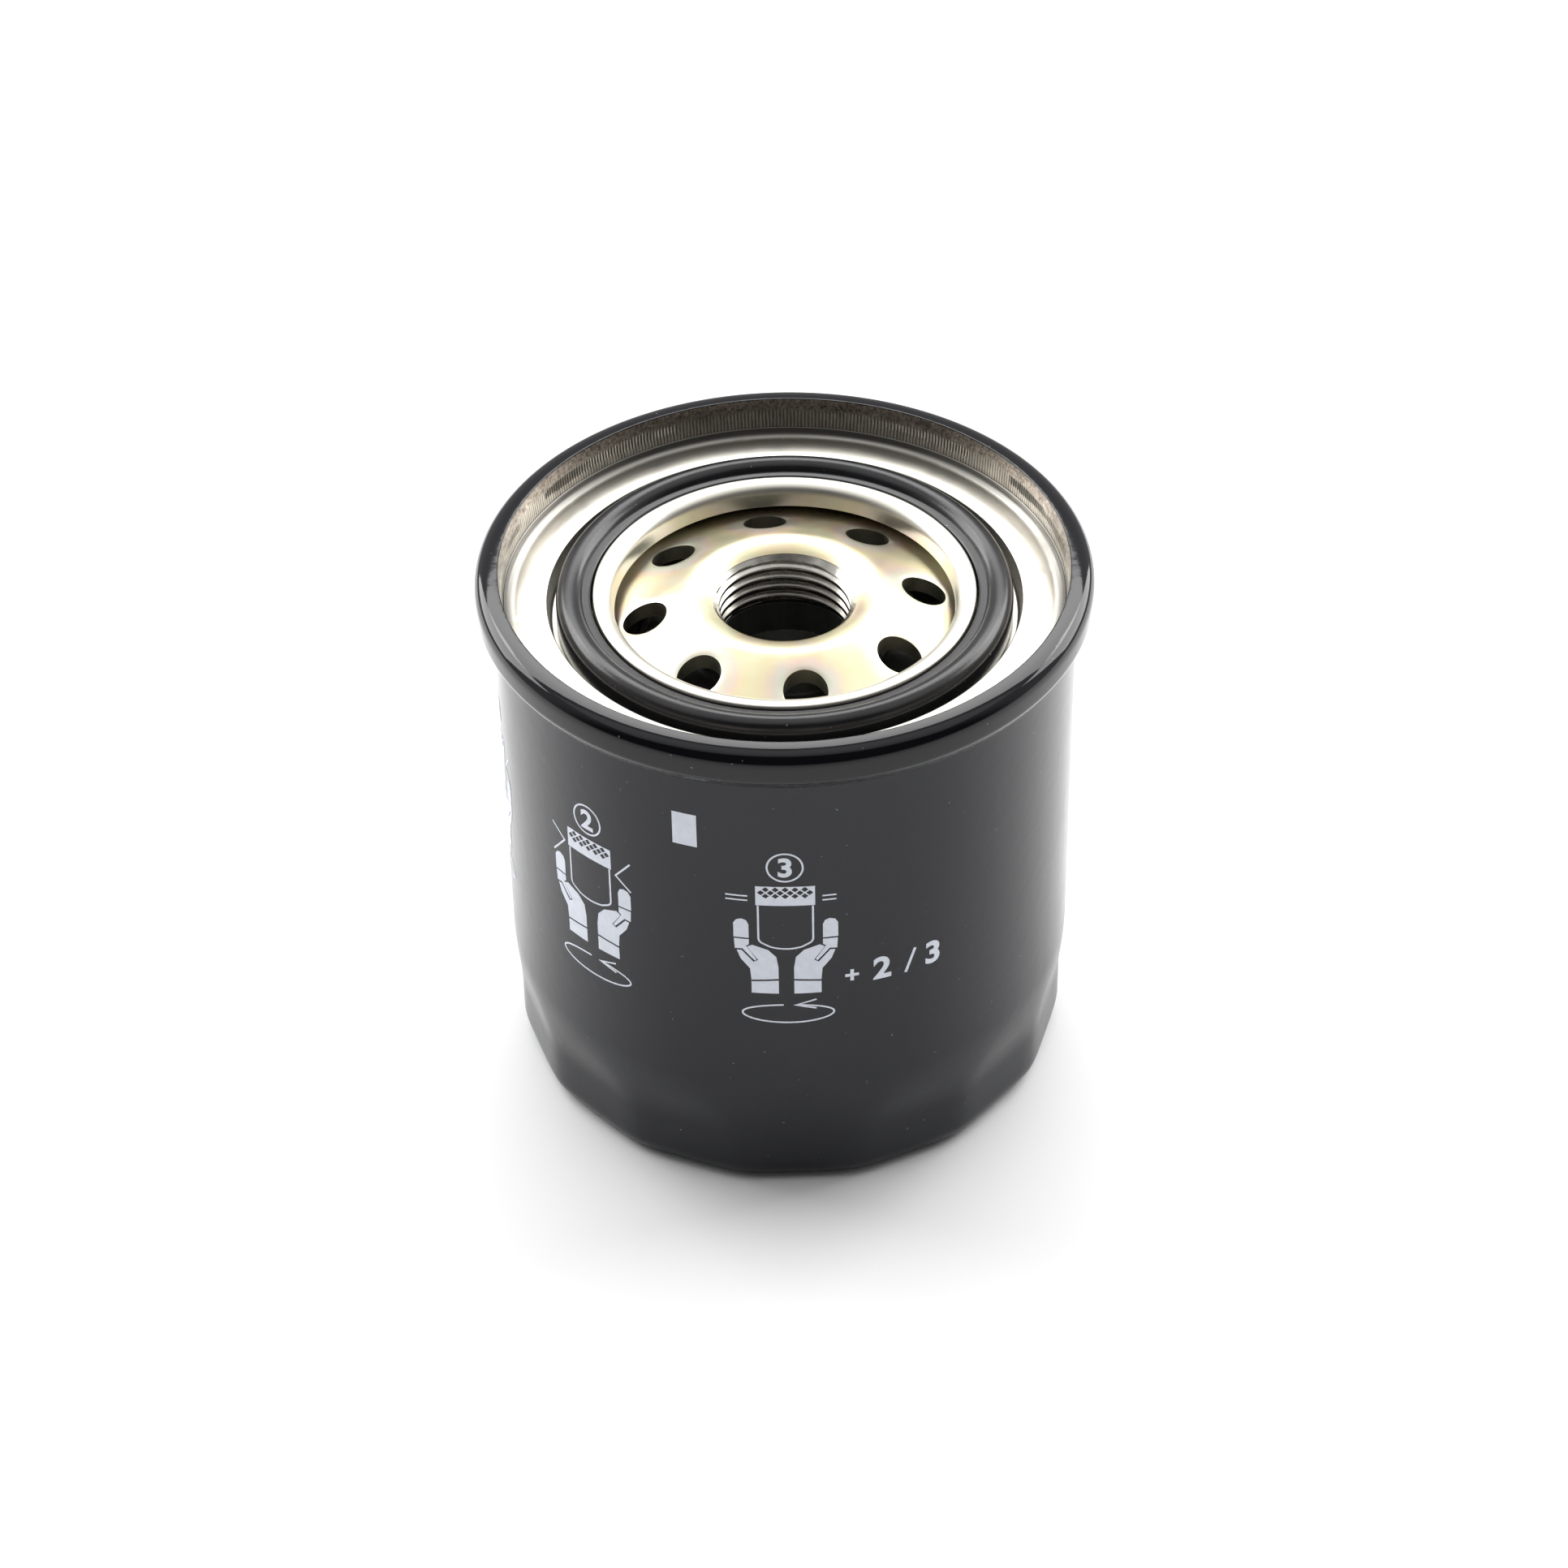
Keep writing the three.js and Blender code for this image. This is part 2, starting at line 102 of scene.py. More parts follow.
THREAD_PITCH = 25.4 / 16
PLEATS = 40
KNURLS = 480


# ---------------------------------------------------------------- mesh helpers

def rounded(corners, step=math.radians(9)):
    """A closed profile with each corner (r, z, fillet) rounded to its fillet, as (r, z) points."""
    points = []
    for i, (r, z, size) in enumerate(corners):
        here = Vector((r, z))
        if size == 0:
            points.append((r, z))
            continue
        back = (Vector(corners[i - 1][:2]) - here).normalized()
        ahead = (Vector(corners[(i + 1) % len(corners)][:2]) - here).normalized()
        half = back.angle(ahead) / 2
        centre = here + (back + ahead).normalized() * (size / math.sin(half))
        start = here + back * (size / math.tan(half)) - centre
        turn = math.pi - 2 * half
        side = 1 if back.x * ahead.y - back.y * ahead.x < 0 else -1
        steps = max(2, math.ceil(turn / step))
        for k in range(steps + 1):
            angle = side * turn * k / steps
            x = start.x * math.cos(angle) - start.y * math.sin(angle)
            y = start.x * math.sin(angle) + start.y * math.cos(angle)
            points.append((centre.x + x, centre.y + y))
    return points


def divided(points, spacing, where=lambda r, z: True):
    """The profile with its sides split to a spacing, where both of a side's ends are in a region."""
    result = []
    for (r0, z0), (r1, z1) in zip(points, points[1:] + points[:1]):
        count = 1
        if where(r0, z0) and where(r1, z1):
            count = max(1, math.ceil(math.hypot(r1 - r0, z1 - z0) / spacing))
        result += [(r0 + (r1 - r0) * k / count, z0 + (z1 - z0) * k / count) for k in range(count)]
    return result


def flowing(points, steps=6):
    """A smooth line through points, as a list with its last point left out."""
    ends = [points[0], *points, points[-1]]
    result = []
    for a, b, c, d in zip(ends, ends[1:], ends[2:], ends[3:]):
        for k in range(steps):
            t = k / steps
            result.append(tuple(
                0.5 * (2 * q + (r - p) * t + (2 * p - 5 * q + 4 * r - s) * t ** 2
                       + (3 * q - p - 3 * r + s) * t ** 3)
                for p, q, r, s in zip(a, b, c, d)
            ))
    return result


def smoothed(mesh, sharp):
    """Shades a mesh smooth, except at edges sharper than an angle in degrees."""
    mesh.shade_smooth()
    mesh.set_sharp_from_angle(angle=math.radians(sharp))


def finish_mesh(name, mesh, body, stands_for, sharp=40):
    """Puts a mesh in the scene as a piece that rides on a body and stands for CAD nodes."""
    smoothed(mesh, sharp)
    piece = bpy.data.objects.new(name, mesh)
    bpy.context.scene.collection.objects.link(piece)
    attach(piece, body)
    if stands_for:
        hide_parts(*stands_for)
    return piece


def mesh_of(name, verts, faces):
    """A mesh from points in millimetres, with doubles merged and normals facing out."""
    mesh = bpy.data.meshes.new(name)
    mesh.from_pydata((np.asarray(verts, float) * MM).tolist(), [], faces)
    work = bmesh.new()
    work.from_mesh(mesh)
    bmesh.ops.remove_doubles(work, verts=work.verts, dist=1e-7)
    bmesh.ops.recalc_face_normals(work, faces=work.faces)
    work.to_mesh(mesh)
    work.free()
    return mesh


def turned(name, profile, segments, shape=None, start=0.0):
    """A closed profile turned round the Z axis; shape(azimuth, radius, height) moves radii and heights."""
    azimuth = (start + TAU * np.arange(segments) / segments)[:, None]
    radius, height = np.array(profile, float).T[:, None, :]
    azimuth, radius, height = np.broadcast_arrays(azimuth, radius, height)
    if shape:
        radius, height = shape(azimuth, radius, height)
    verts = np.stack([radius * np.cos(azimuth), radius * np.sin(azimuth), height], -1).reshape(-1, 3)
    count = len(profile)
    faces = []
    for i in range(segments):
        a, b = i * count, (i + 1) % segments * count
        faces += [(a + j, b + j, b + (j + 1) % count, a + (j + 1) % count) for j in range(count)]
    return mesh_of(name, verts, faces)


def swept(name, centres, tangents, size, sides=14):
    """A round wire through centres, closed at both ends, in millimetres."""
    verts = []
    for centre, tangent in zip(centres, tangents):
        side = tangent.cross(Vector((0, 0, 1))).normalized()
        up = side.cross(tangent).normalized()
        for k in range(sides):
            angle = TAU * k / sides
            verts.append(centre + (side * math.cos(angle) + up * math.sin(angle)) * size / 2)
    rings = len(centres)
    faces = []
    for i in range(rings - 1):
        a, b = i * sides, (i + 1) * sides
        faces += [(a + k, a + (k + 1) % sides, b + (k + 1) % sides, b + k) for k in range(sides)]
    faces.append(tuple(range(sides - 1, -1, -1)))
    faces.append(tuple((rings - 1) * sides + k for k in range(sides)))
    return mesh_of(name, verts, faces)


def extruded(name, outline, low, high, hole=None):
    """An upright prism over an outline, or over the band between it and a hole with as many points."""
    count = len(outline)
    rings = [outline] if hole is None else [outline, hole]
    verts = [(x, y, z) for ring in rings for z in (low, high) for x, y in ring]
    faces = []
    for ring in range(len(rings)):
        base = 2 * ring * count
        for k in range(count):
            near, far = base + k, base + (k + 1) % count
            faces.append((near, far, far + count, near + count))
    if hole is None:
        faces += [tuple(range(count)), tuple(range(count, 2 * count))]
    else:
        for k in range(count):
            near, far = k, (k + 1) % count
            faces.append((near, far, 2 * count + far, 2 * count + near))
            faces.append((count + near, count + far, 3 * count + far, 3 * count + near))
    return mesh_of(name, verts, faces)


def cylinder(name, radius, height, place, sides=48, turn=None):
    """A closed cylinder centred at a place, in millimetres, turned by a matrix."""
    angles = [TAU * k / sides for k in range(sides)]
    outline = [(radius * math.cos(a), radius * math.sin(a)) for a in angles]
    mesh = extruded(name, outline, -height / 2, height / 2)
    mesh.transform(Matrix.Translation(Vector(place) * MM) @ (turn or Matrix.Identity(4)))
    return mesh


def cut_with(piece, cutters, sharp=40):
    """Cuts closed meshes out of a piece, and removes them."""
    group = bpy.data.collections.new("cut")
    for mesh in cutters:
        group.objects.link(bpy.data.objects.new("cut", mesh))
    modifier = piece.modifiers.new("cut", "BOOLEAN")
    modifier.operand_type = "COLLECTION"
    modifier.collection = group
    modifier.solver = "MANIFOLD"
    piece_view = piece.evaluated_get(bpy.context.evaluated_depsgraph_get())
    made = bpy.data.meshes.new_from_object(piece_view)
    piece.modifiers.clear()
    smoothed(made, sharp)
    piece.data = made
    for cutter in list(group.objects):
        bpy.data.objects.remove(cutter)
    bpy.data.collections.remove(group)


# ---------------------------------------------------------------- materials

class Nodes:
    """Short names for building a material's nodes."""

    def __init__(self, name, **values):
        self.material = bpy.data.materials.new(name)
        self.material.use_nodes = True
        self.tree = self.material.node_tree
        self.shader = self.tree.nodes["Principled BSDF"]
        for socket, value in values.items():
            self.shader.inputs[socket.replace("_", " ")].default_value = value
        self.place = self.tree.nodes.new("ShaderNodeTexCoord").outputs["Object"]

    def link(self, source, node, socket):
        if isinstance(source, (int, float)):
            node.inputs[socket].default_value = source
        else:
            self.tree.links.new(source, node.inputs[socket])

    def math(self, operation, a, b=0.0, c=0.0):
        node = self.tree.nodes.new("ShaderNodeMath")
        node.operation = operation
        for i, value in enumerate((a, b, c)):
            self.link(value, node, i)
        return node.outputs[0]

    def streaks(self, azimuth, turns, across, scale, detail, rough):
        """Noise drawn out round the axis; across is the radius or the height."""
        place = self.joined(self.math("MULTIPLY", azimuth, turns), self.math("MULTIPLY", across, scale), 0.0)
        return self.noise(1.0, detail, rough, place)

    def noise(self, scale, detail=3.0, rough=0.5, place=None, distortion=0.0):
        node = self.tree.nodes.new("ShaderNodeTexNoise")
        node.inputs["Scale"].default_value = scale
        node.inputs["Detail"].default_value = detail
        node.inputs["Roughness"].default_value = rough
        node.inputs["Distortion"].default_value = distortion
        self.link(place or self.place, node, "Vector")
        return node.outputs[0]

    def stretched(self, x, y, z):
        """The object's coordinates, scaled along each axis."""
        node = self.tree.nodes.new("ShaderNodeMapping")
        node.inputs["Scale"].default_value = (x, y, z)
        self.link(self.place, node, "Vector")
        return node.outputs[0]

    def parts(self):
        node = self.tree.nodes.new("ShaderNodeSeparateXYZ")
        self.link(self.place, node, 0)
        return node.outputs

    def joined(self, x, y, z):
        node = self.tree.nodes.new("ShaderNodeCombineXYZ")
        for i, value in enumerate((x, y, z)):
            self.link(value, node, i)
        return node.outputs[0]

    def polar(self):
        """Azimuth in radians, radius and height in metres."""
        x, y, z = self.parts()
        radius = self.math("SQRT", self.math("ADD", self.math("POWER", x, 2.0), self.math("POWER", y, 2.0)))
        return self.math("ARCTAN2", y, x), radius, z

    def ramp(self, value, *stops):
        node = self.tree.nodes.new("ShaderNodeValToRGB")
        elements = node.color_ramp.elements
        while len(elements) < len(stops):
            elements.new(0.5)
        for element, (place, colour) in zip(elements, stops):
            element.position = place
            grey = (colour,) * 3 if isinstance(colour, (int, float)) else colour
            element.color = (*grey, 1.0)
        self.link(value, node, 0)
        return node.outputs[0]

    def mix(self, share, first, second):
        node = self.tree.nodes.new("ShaderNodeMix")
        node.data_type = "RGBA"
        self.link(share, node, 0)
        for socket, value in ((6, first), (7, second)):
            if isinstance(value, tuple):
                node.inputs[socket].default_value = (*value, 1.0)
            else:
                self.link(value, node, socket)
        return node.outputs[2]

    def colour(self, value):
        self.link(value, self.shader, "Base Color")

    def rough(self, value):
        self.link(value, self.shader, "Roughness")

    def bump(self, height, distance, strength=1.0):
        node = self.tree.nodes.new("ShaderNodeBump")
        node.inputs["Distance"].default_value = distance
        node.inputs["Strength"].default_value = strength
        self.link(height, node, "Height")
        before = [link for link in self.tree.links if link.to_socket == self.shader.inputs["Normal"]]
        if before:
            self.link(before[0].from_socket, node, "Normal")
        self.link(node.outputs[0], self.shader, "Normal")


def black_enamel(name, roughness, peel, shine, depth=1.0):
    """Black enamel with orange peel, faint smudges and specks of dust."""
    n = Nodes(name, Metallic=0.0, Specular_IOR_Level=shine)
    smudge = n.noise(55, 4, 0.6)
    dust = n.math("GREATER_THAN", n.noise(1500, 1, 0.4), 0.80)
    dark = tuple(c * depth for c in (0.0032, 0.0037, 0.0085))
    pale = tuple(c * depth for c in (0.0048, 0.0054, 0.0115))
    base = n.mix(n.ramp(smudge, (0.35, 0.0), (0.75, 1.0)), dark, pale)
    n.colour(n.mix(dust, base, (0.12, 0.12, 0.125)))
    n.rough(n.ramp(n.noise(38, 5, 0.65), (0.3, roughness * 0.85), (0.72, roughness * 1.25)))
    n.bump(n.noise(520, 2, 0.5), 0.00002 * peel)
    return n.material


def plated_steel(name, base, warm, roughness, scratch=1.0, rim=None):
    """Bright plated sheet with turning lines and soft blotches; from the first to the second of rim's two
    radii its colour darkens, as painted shade.
    """
    n = Nodes(name, Metallic=1.0)
    azimuth, radius, _ = n.polar()
    rings = n.streaks(azimuth, 0.6, radius, 5200.0, 2, 0.6)
    blotch = n.noise(90, 4, 0.6)
    colour = n.mix(n.ramp(blotch, (0.35, 0.0), (0.7, 1.0)), base, warm)
    if rim:
        # painted shade: past the first radius the colour darkens towards (0.17, 0.163, 0.15), the shade in
        # the concave fillet at the foot of the seam wall
        near, far = (r * MM for r in rim)
        out = n.math("DIVIDE", n.math("SUBTRACT", radius, near), far - near)
        colour = n.mix(n.ramp(out, (0.0, 0.0), (1.0, 1.0)), colour, (0.17, 0.163, 0.15))
    n.colour(colour)
    n.rough(n.ramp(blotch, (0.25, roughness * 0.8), (0.75, roughness * 1.3)))
    n.bump(rings, 0.000006 * scratch)
    n.bump(n.noise(900, 3, 0.6), 0.000004 * scratch)
    return n.material


def knurled_steel(name):
    """Bare wall of the seam: brown haze along its top edge, dull grey below, with rolled striations."""
    n = Nodes(name, Metallic=1.0)
    azimuth, _, height = n.polar()
    top = (SEAM_TOP - 0.15) * MM
    fleck = n.streaks(azimuth, 230.0, height, 420.0, 3, 0.65)
    drift = n.math("MULTIPLY", n.math("SUBTRACT", n.noise(160, 3, 0.6), 0.5), 0.0012)
    down = n.math("DIVIDE", n.math("SUBTRACT", n.math("ADD", top, drift), height), 0.0048)
    tooth = n.math("MULTIPLY_ADD", n.math("COSINE", n.math("MULTIPLY", azimuth, float(KNURLS))), 0.22, 0.28)
    fleck = n.math("ADD", n.math("MULTIPLY", fleck, 0.62), n.math("MULTIPLY", tooth, 0.7))
    grime = n.ramp(n.noise(2000, 4, 0.7), (0.34, 0.0), (0.66, 1.0))
    brown = n.mix(grime, (0.10, 0.080, 0.068), (0.42, 0.37, 0.33))
    steel = n.mix(n.ramp(fleck, (0.36, 0.0), (0.64, 1.0)), (0.15, 0.135, 0.12), (0.46, 0.43, 0.39))
    n.colour(n.mix(n.ramp(down, (0.28, 0.0), (0.40, 1.0)), brown, steel))
    n.rough(n.ramp(n.noise(420, 4, 0.6), (0.3, 0.28), (0.7, 0.46)))
    n.bump(n.noise(1500, 3, 0.6), 0.00001)
    return n.material


def yellow_zinc(name):
    """Yellow zinc plating: pale gold, with pink and blue bands round each inlet hole."""
    n = Nodes(name, Metallic=1.0)
    azimuth, radius, _ = n.polar()
    pitch = TAU / INLETS
    turn = n.math("DIVIDE", n.math("SUBTRACT", azimuth, FIRST_INLET), pitch)
    inside = n.math("MULTIPLY", n.math("SUBTRACT", turn, n.math("ROUND", turn)), pitch)
    across = n.math("MULTIPLY", n.math("SINE", inside), radius)
    along = n.math("SUBTRACT", n.math("MULTIPLY", n.math("COSINE", inside), radius), INLET_CIRCLE * MM)
    away = n.math("SQRT", n.math("ADD", n.math("POWER", across, 2.0), n.math("POWER", along, 2.0)))
    drift = n.math("MULTIPLY", n.math("SUBTRACT", n.noise(130, 3, 0.55), 0.5), 0.0042)
    film = n.math("DIVIDE", n.math("SUBTRACT", n.math("ADD", away, drift), INLET_R * MM), 0.0062)
    halo = n.ramp(
        film,
        (0.0, (0.46, 0.473, 0.429)), (0.14, (0.5, 0.473, 0.475)), (0.28, (0.571, 0.424, 0.435)),
        (0.42, (0.612, 0.493, 0.333)), (0.60, (0.581, 0.523, 0.333)),
        (0.80, (0.571, 0.538, 0.371)), (1.0, (0.581, 0.503, 0.324)),
    )
    wide = n.ramp(
        n.noise(62, 3, 0.5, distortion=0.6),
        (0.30, (0.63, 0.45, 0.43)), (0.42, (0.60, 0.53, 0.345)), (0.52, (0.52, 0.55, 0.40)),
        (0.60, (0.60, 0.49, 0.33)), (0.72, (0.50, 0.47, 0.46)),
    )
    n.colour(n.mix(0.5, halo, wide))
    n.rough(n.ramp(n.noise(160, 4, 0.6), (0.3, 0.30), (0.7, 0.42)))
    n.bump(n.noise(1400, 3, 0.6), 0.000006)
    n.bump(n.noise(300, 2, 0.5), 0.00001)
    return n.material


def thread_steel(name):
    """Tapped steel: bright flanks with dark machining lines, its colour darkened deeper down the bore as
    painted shade.
    """
    n = Nodes(name, Metallic=1.0)
    azimuth, _, height = n.polar()
    lines = n.streaks(azimuth, 2.0, height, 9000.0, 2, 0.6)
    # painted shade: below 73.2 mm the colour fades towards dark (0.20, 0.19, 0.17) deeper into the bore
    down = n.math("DIVIDE", n.math("SUBTRACT", 73.2 * MM, height), 0.0050)
    steel = n.mix(n.noise(240, 3, 0.6), (0.40, 0.39, 0.36), (0.66, 0.64, 0.58))
    n.colour(n.mix(n.ramp(down, (0.3, 0.0), (1.0, 1.0)), steel, (0.20, 0.19, 0.17)))
    n.rough(n.ramp(n.noise(500, 3, 0.6), (0.3, 0.14), (0.7, 0.3)))
    n.bump(lines, 0.000008)
    return n.material


def moulded_rubber(name, colour, roughness, grain=1.0):
    """Moulded rubber with a fine grain, faint flow marks and a little dust."""
    n = Nodes(name, Metallic=0.0, Specular_IOR_Level=0.42)
    azimuth, radius, _ = n.polar()
    flow = n.streaks(azimuth, 3.0, radius, 900.0, 3, 0.55)
    lighter = tuple(min(1.0, c * 1.6 + 0.004) for c in colour)
    dust = n.math("GREATER_THAN", n.noise(1600, 1, 0.4), 0.80)
    base = n.mix(n.ramp(flow, (0.35, 0.0), (0.75, 1.0)), colour, lighter)
    n.colour(n.mix(dust, base, (0.16, 0.16, 0.16)))
    n.rough(n.ramp(n.noise(140, 3, 0.6), (0.3, roughness * 0.9), (0.7, roughness * 1.15)))
    n.bump(n.noise(2600, 2, 0.5), 0.000008 * grain)
    n.bump(flow, 0.0000015 * grain)
    return n.material


def pleat_paper(name):
    """Resin treated filter paper: fibre fleck over a warm tan, with faint embossed rows."""
    n = Nodes(name, Metallic=0.0, Specular_IOR_Level=0.2)
    fibre = n.noise(1.0, 6, 0.7, n.stretched(900, 900, 300))
    n.colour(n.mix(n.ramp(fibre, (0.3, 0.0), (0.7, 1.0)), (0.50, 0.33, 0.13), (0.78, 0.60, 0.32)))
    n.rough(n.ramp(fibre, (0.3, 0.75), (0.7, 0.95)))
    _, _, z = n.parts()
    rows = n.math("SINE", n.math("MULTIPLY", z, TAU / 0.0025))
    n.bump(rows, 0.00004)
    n.bump(fibre, 0.00003)
    return n.material


def cured_resin(name, first, second, roughness):
    """Poured compound with a soft uneven skin."""
    n = Nodes(name, Metallic=0.0)
    n.colour(n.mix(n.noise(120, 4, 0.6), first, second))
    n.rough(n.ramp(n.noise(220, 3, 0.5), (0.3, roughness * 0.8), (0.7, roughness * 1.2)))
    n.bump(n.noise(260, 3, 0.5), 0.00006)
    return n.material


def printed_ink(name):
    """White screen ink with a dry, slightly speckled skin."""
    n = Nodes(name, Metallic=0.0)
    speckle = n.ramp(n.noise(900, 3, 0.6), (0.3, 0.0), (0.7, 1.0))
    n.colour(n.mix(speckle, (0.72, 0.76, 0.85), (0.80, 0.84, 0.92)))
    n.rough(n.ramp(n.noise(500, 3, 0.5), (0.3, 0.45), (0.7, 0.65)))
    n.bump(n.noise(1800, 2, 0.5), 0.000006)
    return n.material


PAINT = black_enamel("can_enamel", 0.2, 1.0, 0.36, 0.75)
# the seam takes the can's own enamel with its colour cut to 0.3 rather than 0.75: a darker copy that adds
# painted shade to the rolled rim
SEAM_PAINT = black_enamel("seam_enamel", 0.06, 0.4, 0.34, 0.3)
# the lid's land is darkened from 35.6 to 37.9 mm as painted shade in the fillet below the seam wall
LID = plated_steel("lid_plating", (0.66, 0.645, 0.59), (0.60, 0.58, 0.51), 0.34, rim=(35.6, 37.9))
WALL = knurled_steel("knurled_wall")
ZINC = yellow_zinc("zinc_plating")
TAPPED = thread_steel("tapped_thread")
TIN = plated_steel("tin_sheet", (0.62, 0.63, 0.62), (0.50, 0.50, 0.48), 0.32)
PRESSED = plated_steel("pressed_sheet", (0.46, 0.45, 0.43), (0.34, 0.33, 0.32), 0.36)
WIRE = plated_steel("drawn_wire", (0.34, 0.34, 0.35), (0.24, 0.24, 0.25), 0.28, 0.5)
GASKET_RUBBER = moulded_rubber("gasket_rubber", (0.0050, 0.0052, 0.0065), 0.23)
VALVE_RUBBER = moulded_rubber("valve_rubber", (0.036, 0.037, 0.036), 0.42)
PAPER = pleat_paper("pleat_paper")
RESIN = cured_resin("potting_resin", (0.42, 0.34, 0.20), (0.56, 0.47, 0.30), 0.45)
LATEX = cured_resin("seam_latex", (0.16, 0.22, 0.16), (0.24, 0.30, 0.22), 0.6)
INK = printed_ink("white_ink")


def paint(piece, *materials, choose=None):
    """Gives a piece its materials; choose(radius, height) in millimetres says which one a face takes."""
    for material in materials:
        piece.data.materials.append(material)
    if choose:
        for face in piece.data.polygons:
            x, y, z = (c / MM for c in face.center)
            face.material_index = choose(math.hypot(x, y), z)
    return piece


# ---------------------------------------------------------------- housing

def smooth_share(value, low, high):
    share = np.clip((value - low) / (high - low), 0, 1)
    return share * share * (3 - 2 * share)


def soft_least(first, second, blend):
    return -blend * np.log(np.exp(-first / blend) + np.exp(-second / blend))


def from_nearest(azimuth, first, count):
    """The turn from the nearest of a ring of evenly spaced azimuths."""
    pitch = TAU / count
    turn = azimuth - first
    return turn - pitch * np.round(turn / pitch)


def fluted(azimuth, radius, height):
    """Presses the flats of the cap wrench grip into the closed end of the can."""
    inside = from_nearest(azimuth, FIRST_FLAT, FLUTES)
    depth = smooth_share(-height, -FLUTE_TOP, -FLUTE_FULL)
    lip = 0.35
    corner = (CORNER_R - CAN_R) * depth
    flat = (CAN_R + lip + (FLAT_R - CAN_R - lip) * depth) / np.cos(inside) - CAN_R
    round_flat = (CAN_R + lip) / np.cos(inside) - CAN_R
    press = soft_least(corner, flat, 0.16) - soft_least(0 * corner, round_flat, 0.16)
    share = np.clip((radius - 33) / (CAN_R - 33), 0, 1)
    return radius + share * np.minimum(press, 0) * (height < FLUTE_TOP + 2), height


def make_can():
    t = CAN_WALL
    hook = CAN_R + 1.45
    hook_top = SEAM_TOP - 1.15
    profile = rounded([
        (0, 1, 0), (20.6, 1, 1.2), (22.2, 0, 1.2), (CAN_R, 0, 3.2),
        (CAN_R, hook_top - t, 0.42), (hook - t, hook_top - t, 0.42), (hook - t, SEAM_TOP - 4.3, 0),
        (hook, SEAM_TOP - 4.3, 0), (hook, hook_top, 0.9), (CAN_R - t, hook_top, 0.9),
        (CAN_R - t, t, 3.2 - t), (22.2 + t / 2, t, 0.8), (20.6 + t / 2, 1 + t, 0.8), (0, 1 + t, 0),
    ])
    rows = []
    for (r0, z0), (r1, z1) in zip(profile, profile[1:] + profile[:1]):
        rows.append((r0, z0))
        heights = []
        if abs(z1 - z0) > 20:
            heights = [*np.arange(4.0, FLUTE_TOP + 2.6, 0.7), 30, 40, 50, 60, 70]
        rows += [(r0, h) for h in sorted(heights, reverse=z1 < z0)]
    mesh = turned("can_shell", rows, 24 * FLUTES, fluted, FIRST_FLAT)
    piece = finish_mesh("can_shell", mesh, "housing", ["can"], 60)
    paint(piece, PAINT)


def weld_dents(azimuth, radius, height):
    """Depth of the eight projection weld dents in the lid's land, in line with the inlet holes."""
    inside = from_nearest(azimuth, FIRST_INLET, INLETS)
    away = np.hypot(radius * np.cos(inside) - 35.9, radius * np.sin(inside))
    dent = 0.05 * np.exp(-(away / 0.95) ** 2) - 0.01 * np.exp(-((away - 1.35) / 0.35) ** 2)
    return dent * (height > 72) * (height < 76)


def make_lid():
    crown = []
    for degrees in range(90, -1, -6):
        across, up = (abs(f(math.radians(degrees))) ** 0.8 for f in (math.cos, math.sin))
        crown.append((39.2 + (SEAM_R - 39.2) * across, SEAM_TOP - 2.4 * (1 - up), 0))
    profile = rounded([
        (23.2, 71.7, 0.1), (23.6, 74.87, 1.6), (26.1, 74.87, 0.45), (26.1, 70.9, 0.35), (31.9, 70.9, 0.35),
        (32.3, 73.9, 0.25), (34.6, 74.1, 12), (38.0, 73.28, 1.25), (38.1, 74.6, 0.0), (38.3, 74.78, 0.0),
        (38.72, SEAM_TOP, 0.13), *crown, (SEAM_R, 75.0, 1.6),
        (40.95, 73.2, 0.4), (39.95, 73.9, 0.3), (39.95, 76.6, 0.1), (40.4, 76.6, 0.1), (40.4, 74.5, 0.2),
        (40.9, 74.2, 0.2), (41.45, 75.2, 0.3), (41.45, 76.8, 0.4), (41.05, 77.8, 0.4), (40.1, 78.5, 0.3),
        (39.5, 78.7, 0.2), (39.15, 77.8, 0.5), (38.65, 74.6, 0.5), (38.1, 72.7, 0.6), (34.6, 73.5, 4),
        (32.6, 73.35, 0.3), (32.5, 70.3, 0.5), (25.5, 70.3, 0.5), (25.5, 74.25, 0.4), (24.3, 74.25, 0.5),
        (23.85, 71.7, 0.1),
    ])
    profile = divided(profile, 0.3, lambda r, z: 34.5 < r < 39.1 and z > 72.6 and z < 79.2)

    def pressed(azimuth, radius, height):
        wall = (radius > 38.05) & (radius < 38.75) & (height > 74.9)
        band = smooth_share(height, 75.3, 75.9) * smooth_share(-height, -78.1, -77.3)
        uneven = 0.75 + 0.25 * np.sin(5 * azimuth + 1.0) * np.sin(11 * azimuth)
        radius = radius + 0.06 * wall * band * uneven * np.cos(KNURLS * azimuth)
        return radius, height - weld_dents(azimuth, radius, height)

    mesh = turned("rolled_lid", profile, 2 * KNURLS, pressed)
    piece = finish_mesh("rolled_lid", mesh, "housing", ["seam_lid"], 35)

    def zone(r, z):
        if (r > 38.85 and z > 72.9) or z > SEAM_TOP - 0.1:
            return 0
        return 1 if z > 74.8 and r > 38 else 2

    paint(piece, SEAM_PAINT, WALL, LID, choose=zone)


def make_compound():
    profile = rounded([(39.6, 78.2, 0.05), (40.2, 78.2, 0.05), (40.0, 78.42, 0.05), (39.65, 78.5, 0.05)])
    mesh = turned("seam_filler", profile, 240)
    paint(finish_mesh("seam_filler", mesh, "housing", ["seam_compound"]), LATEX)


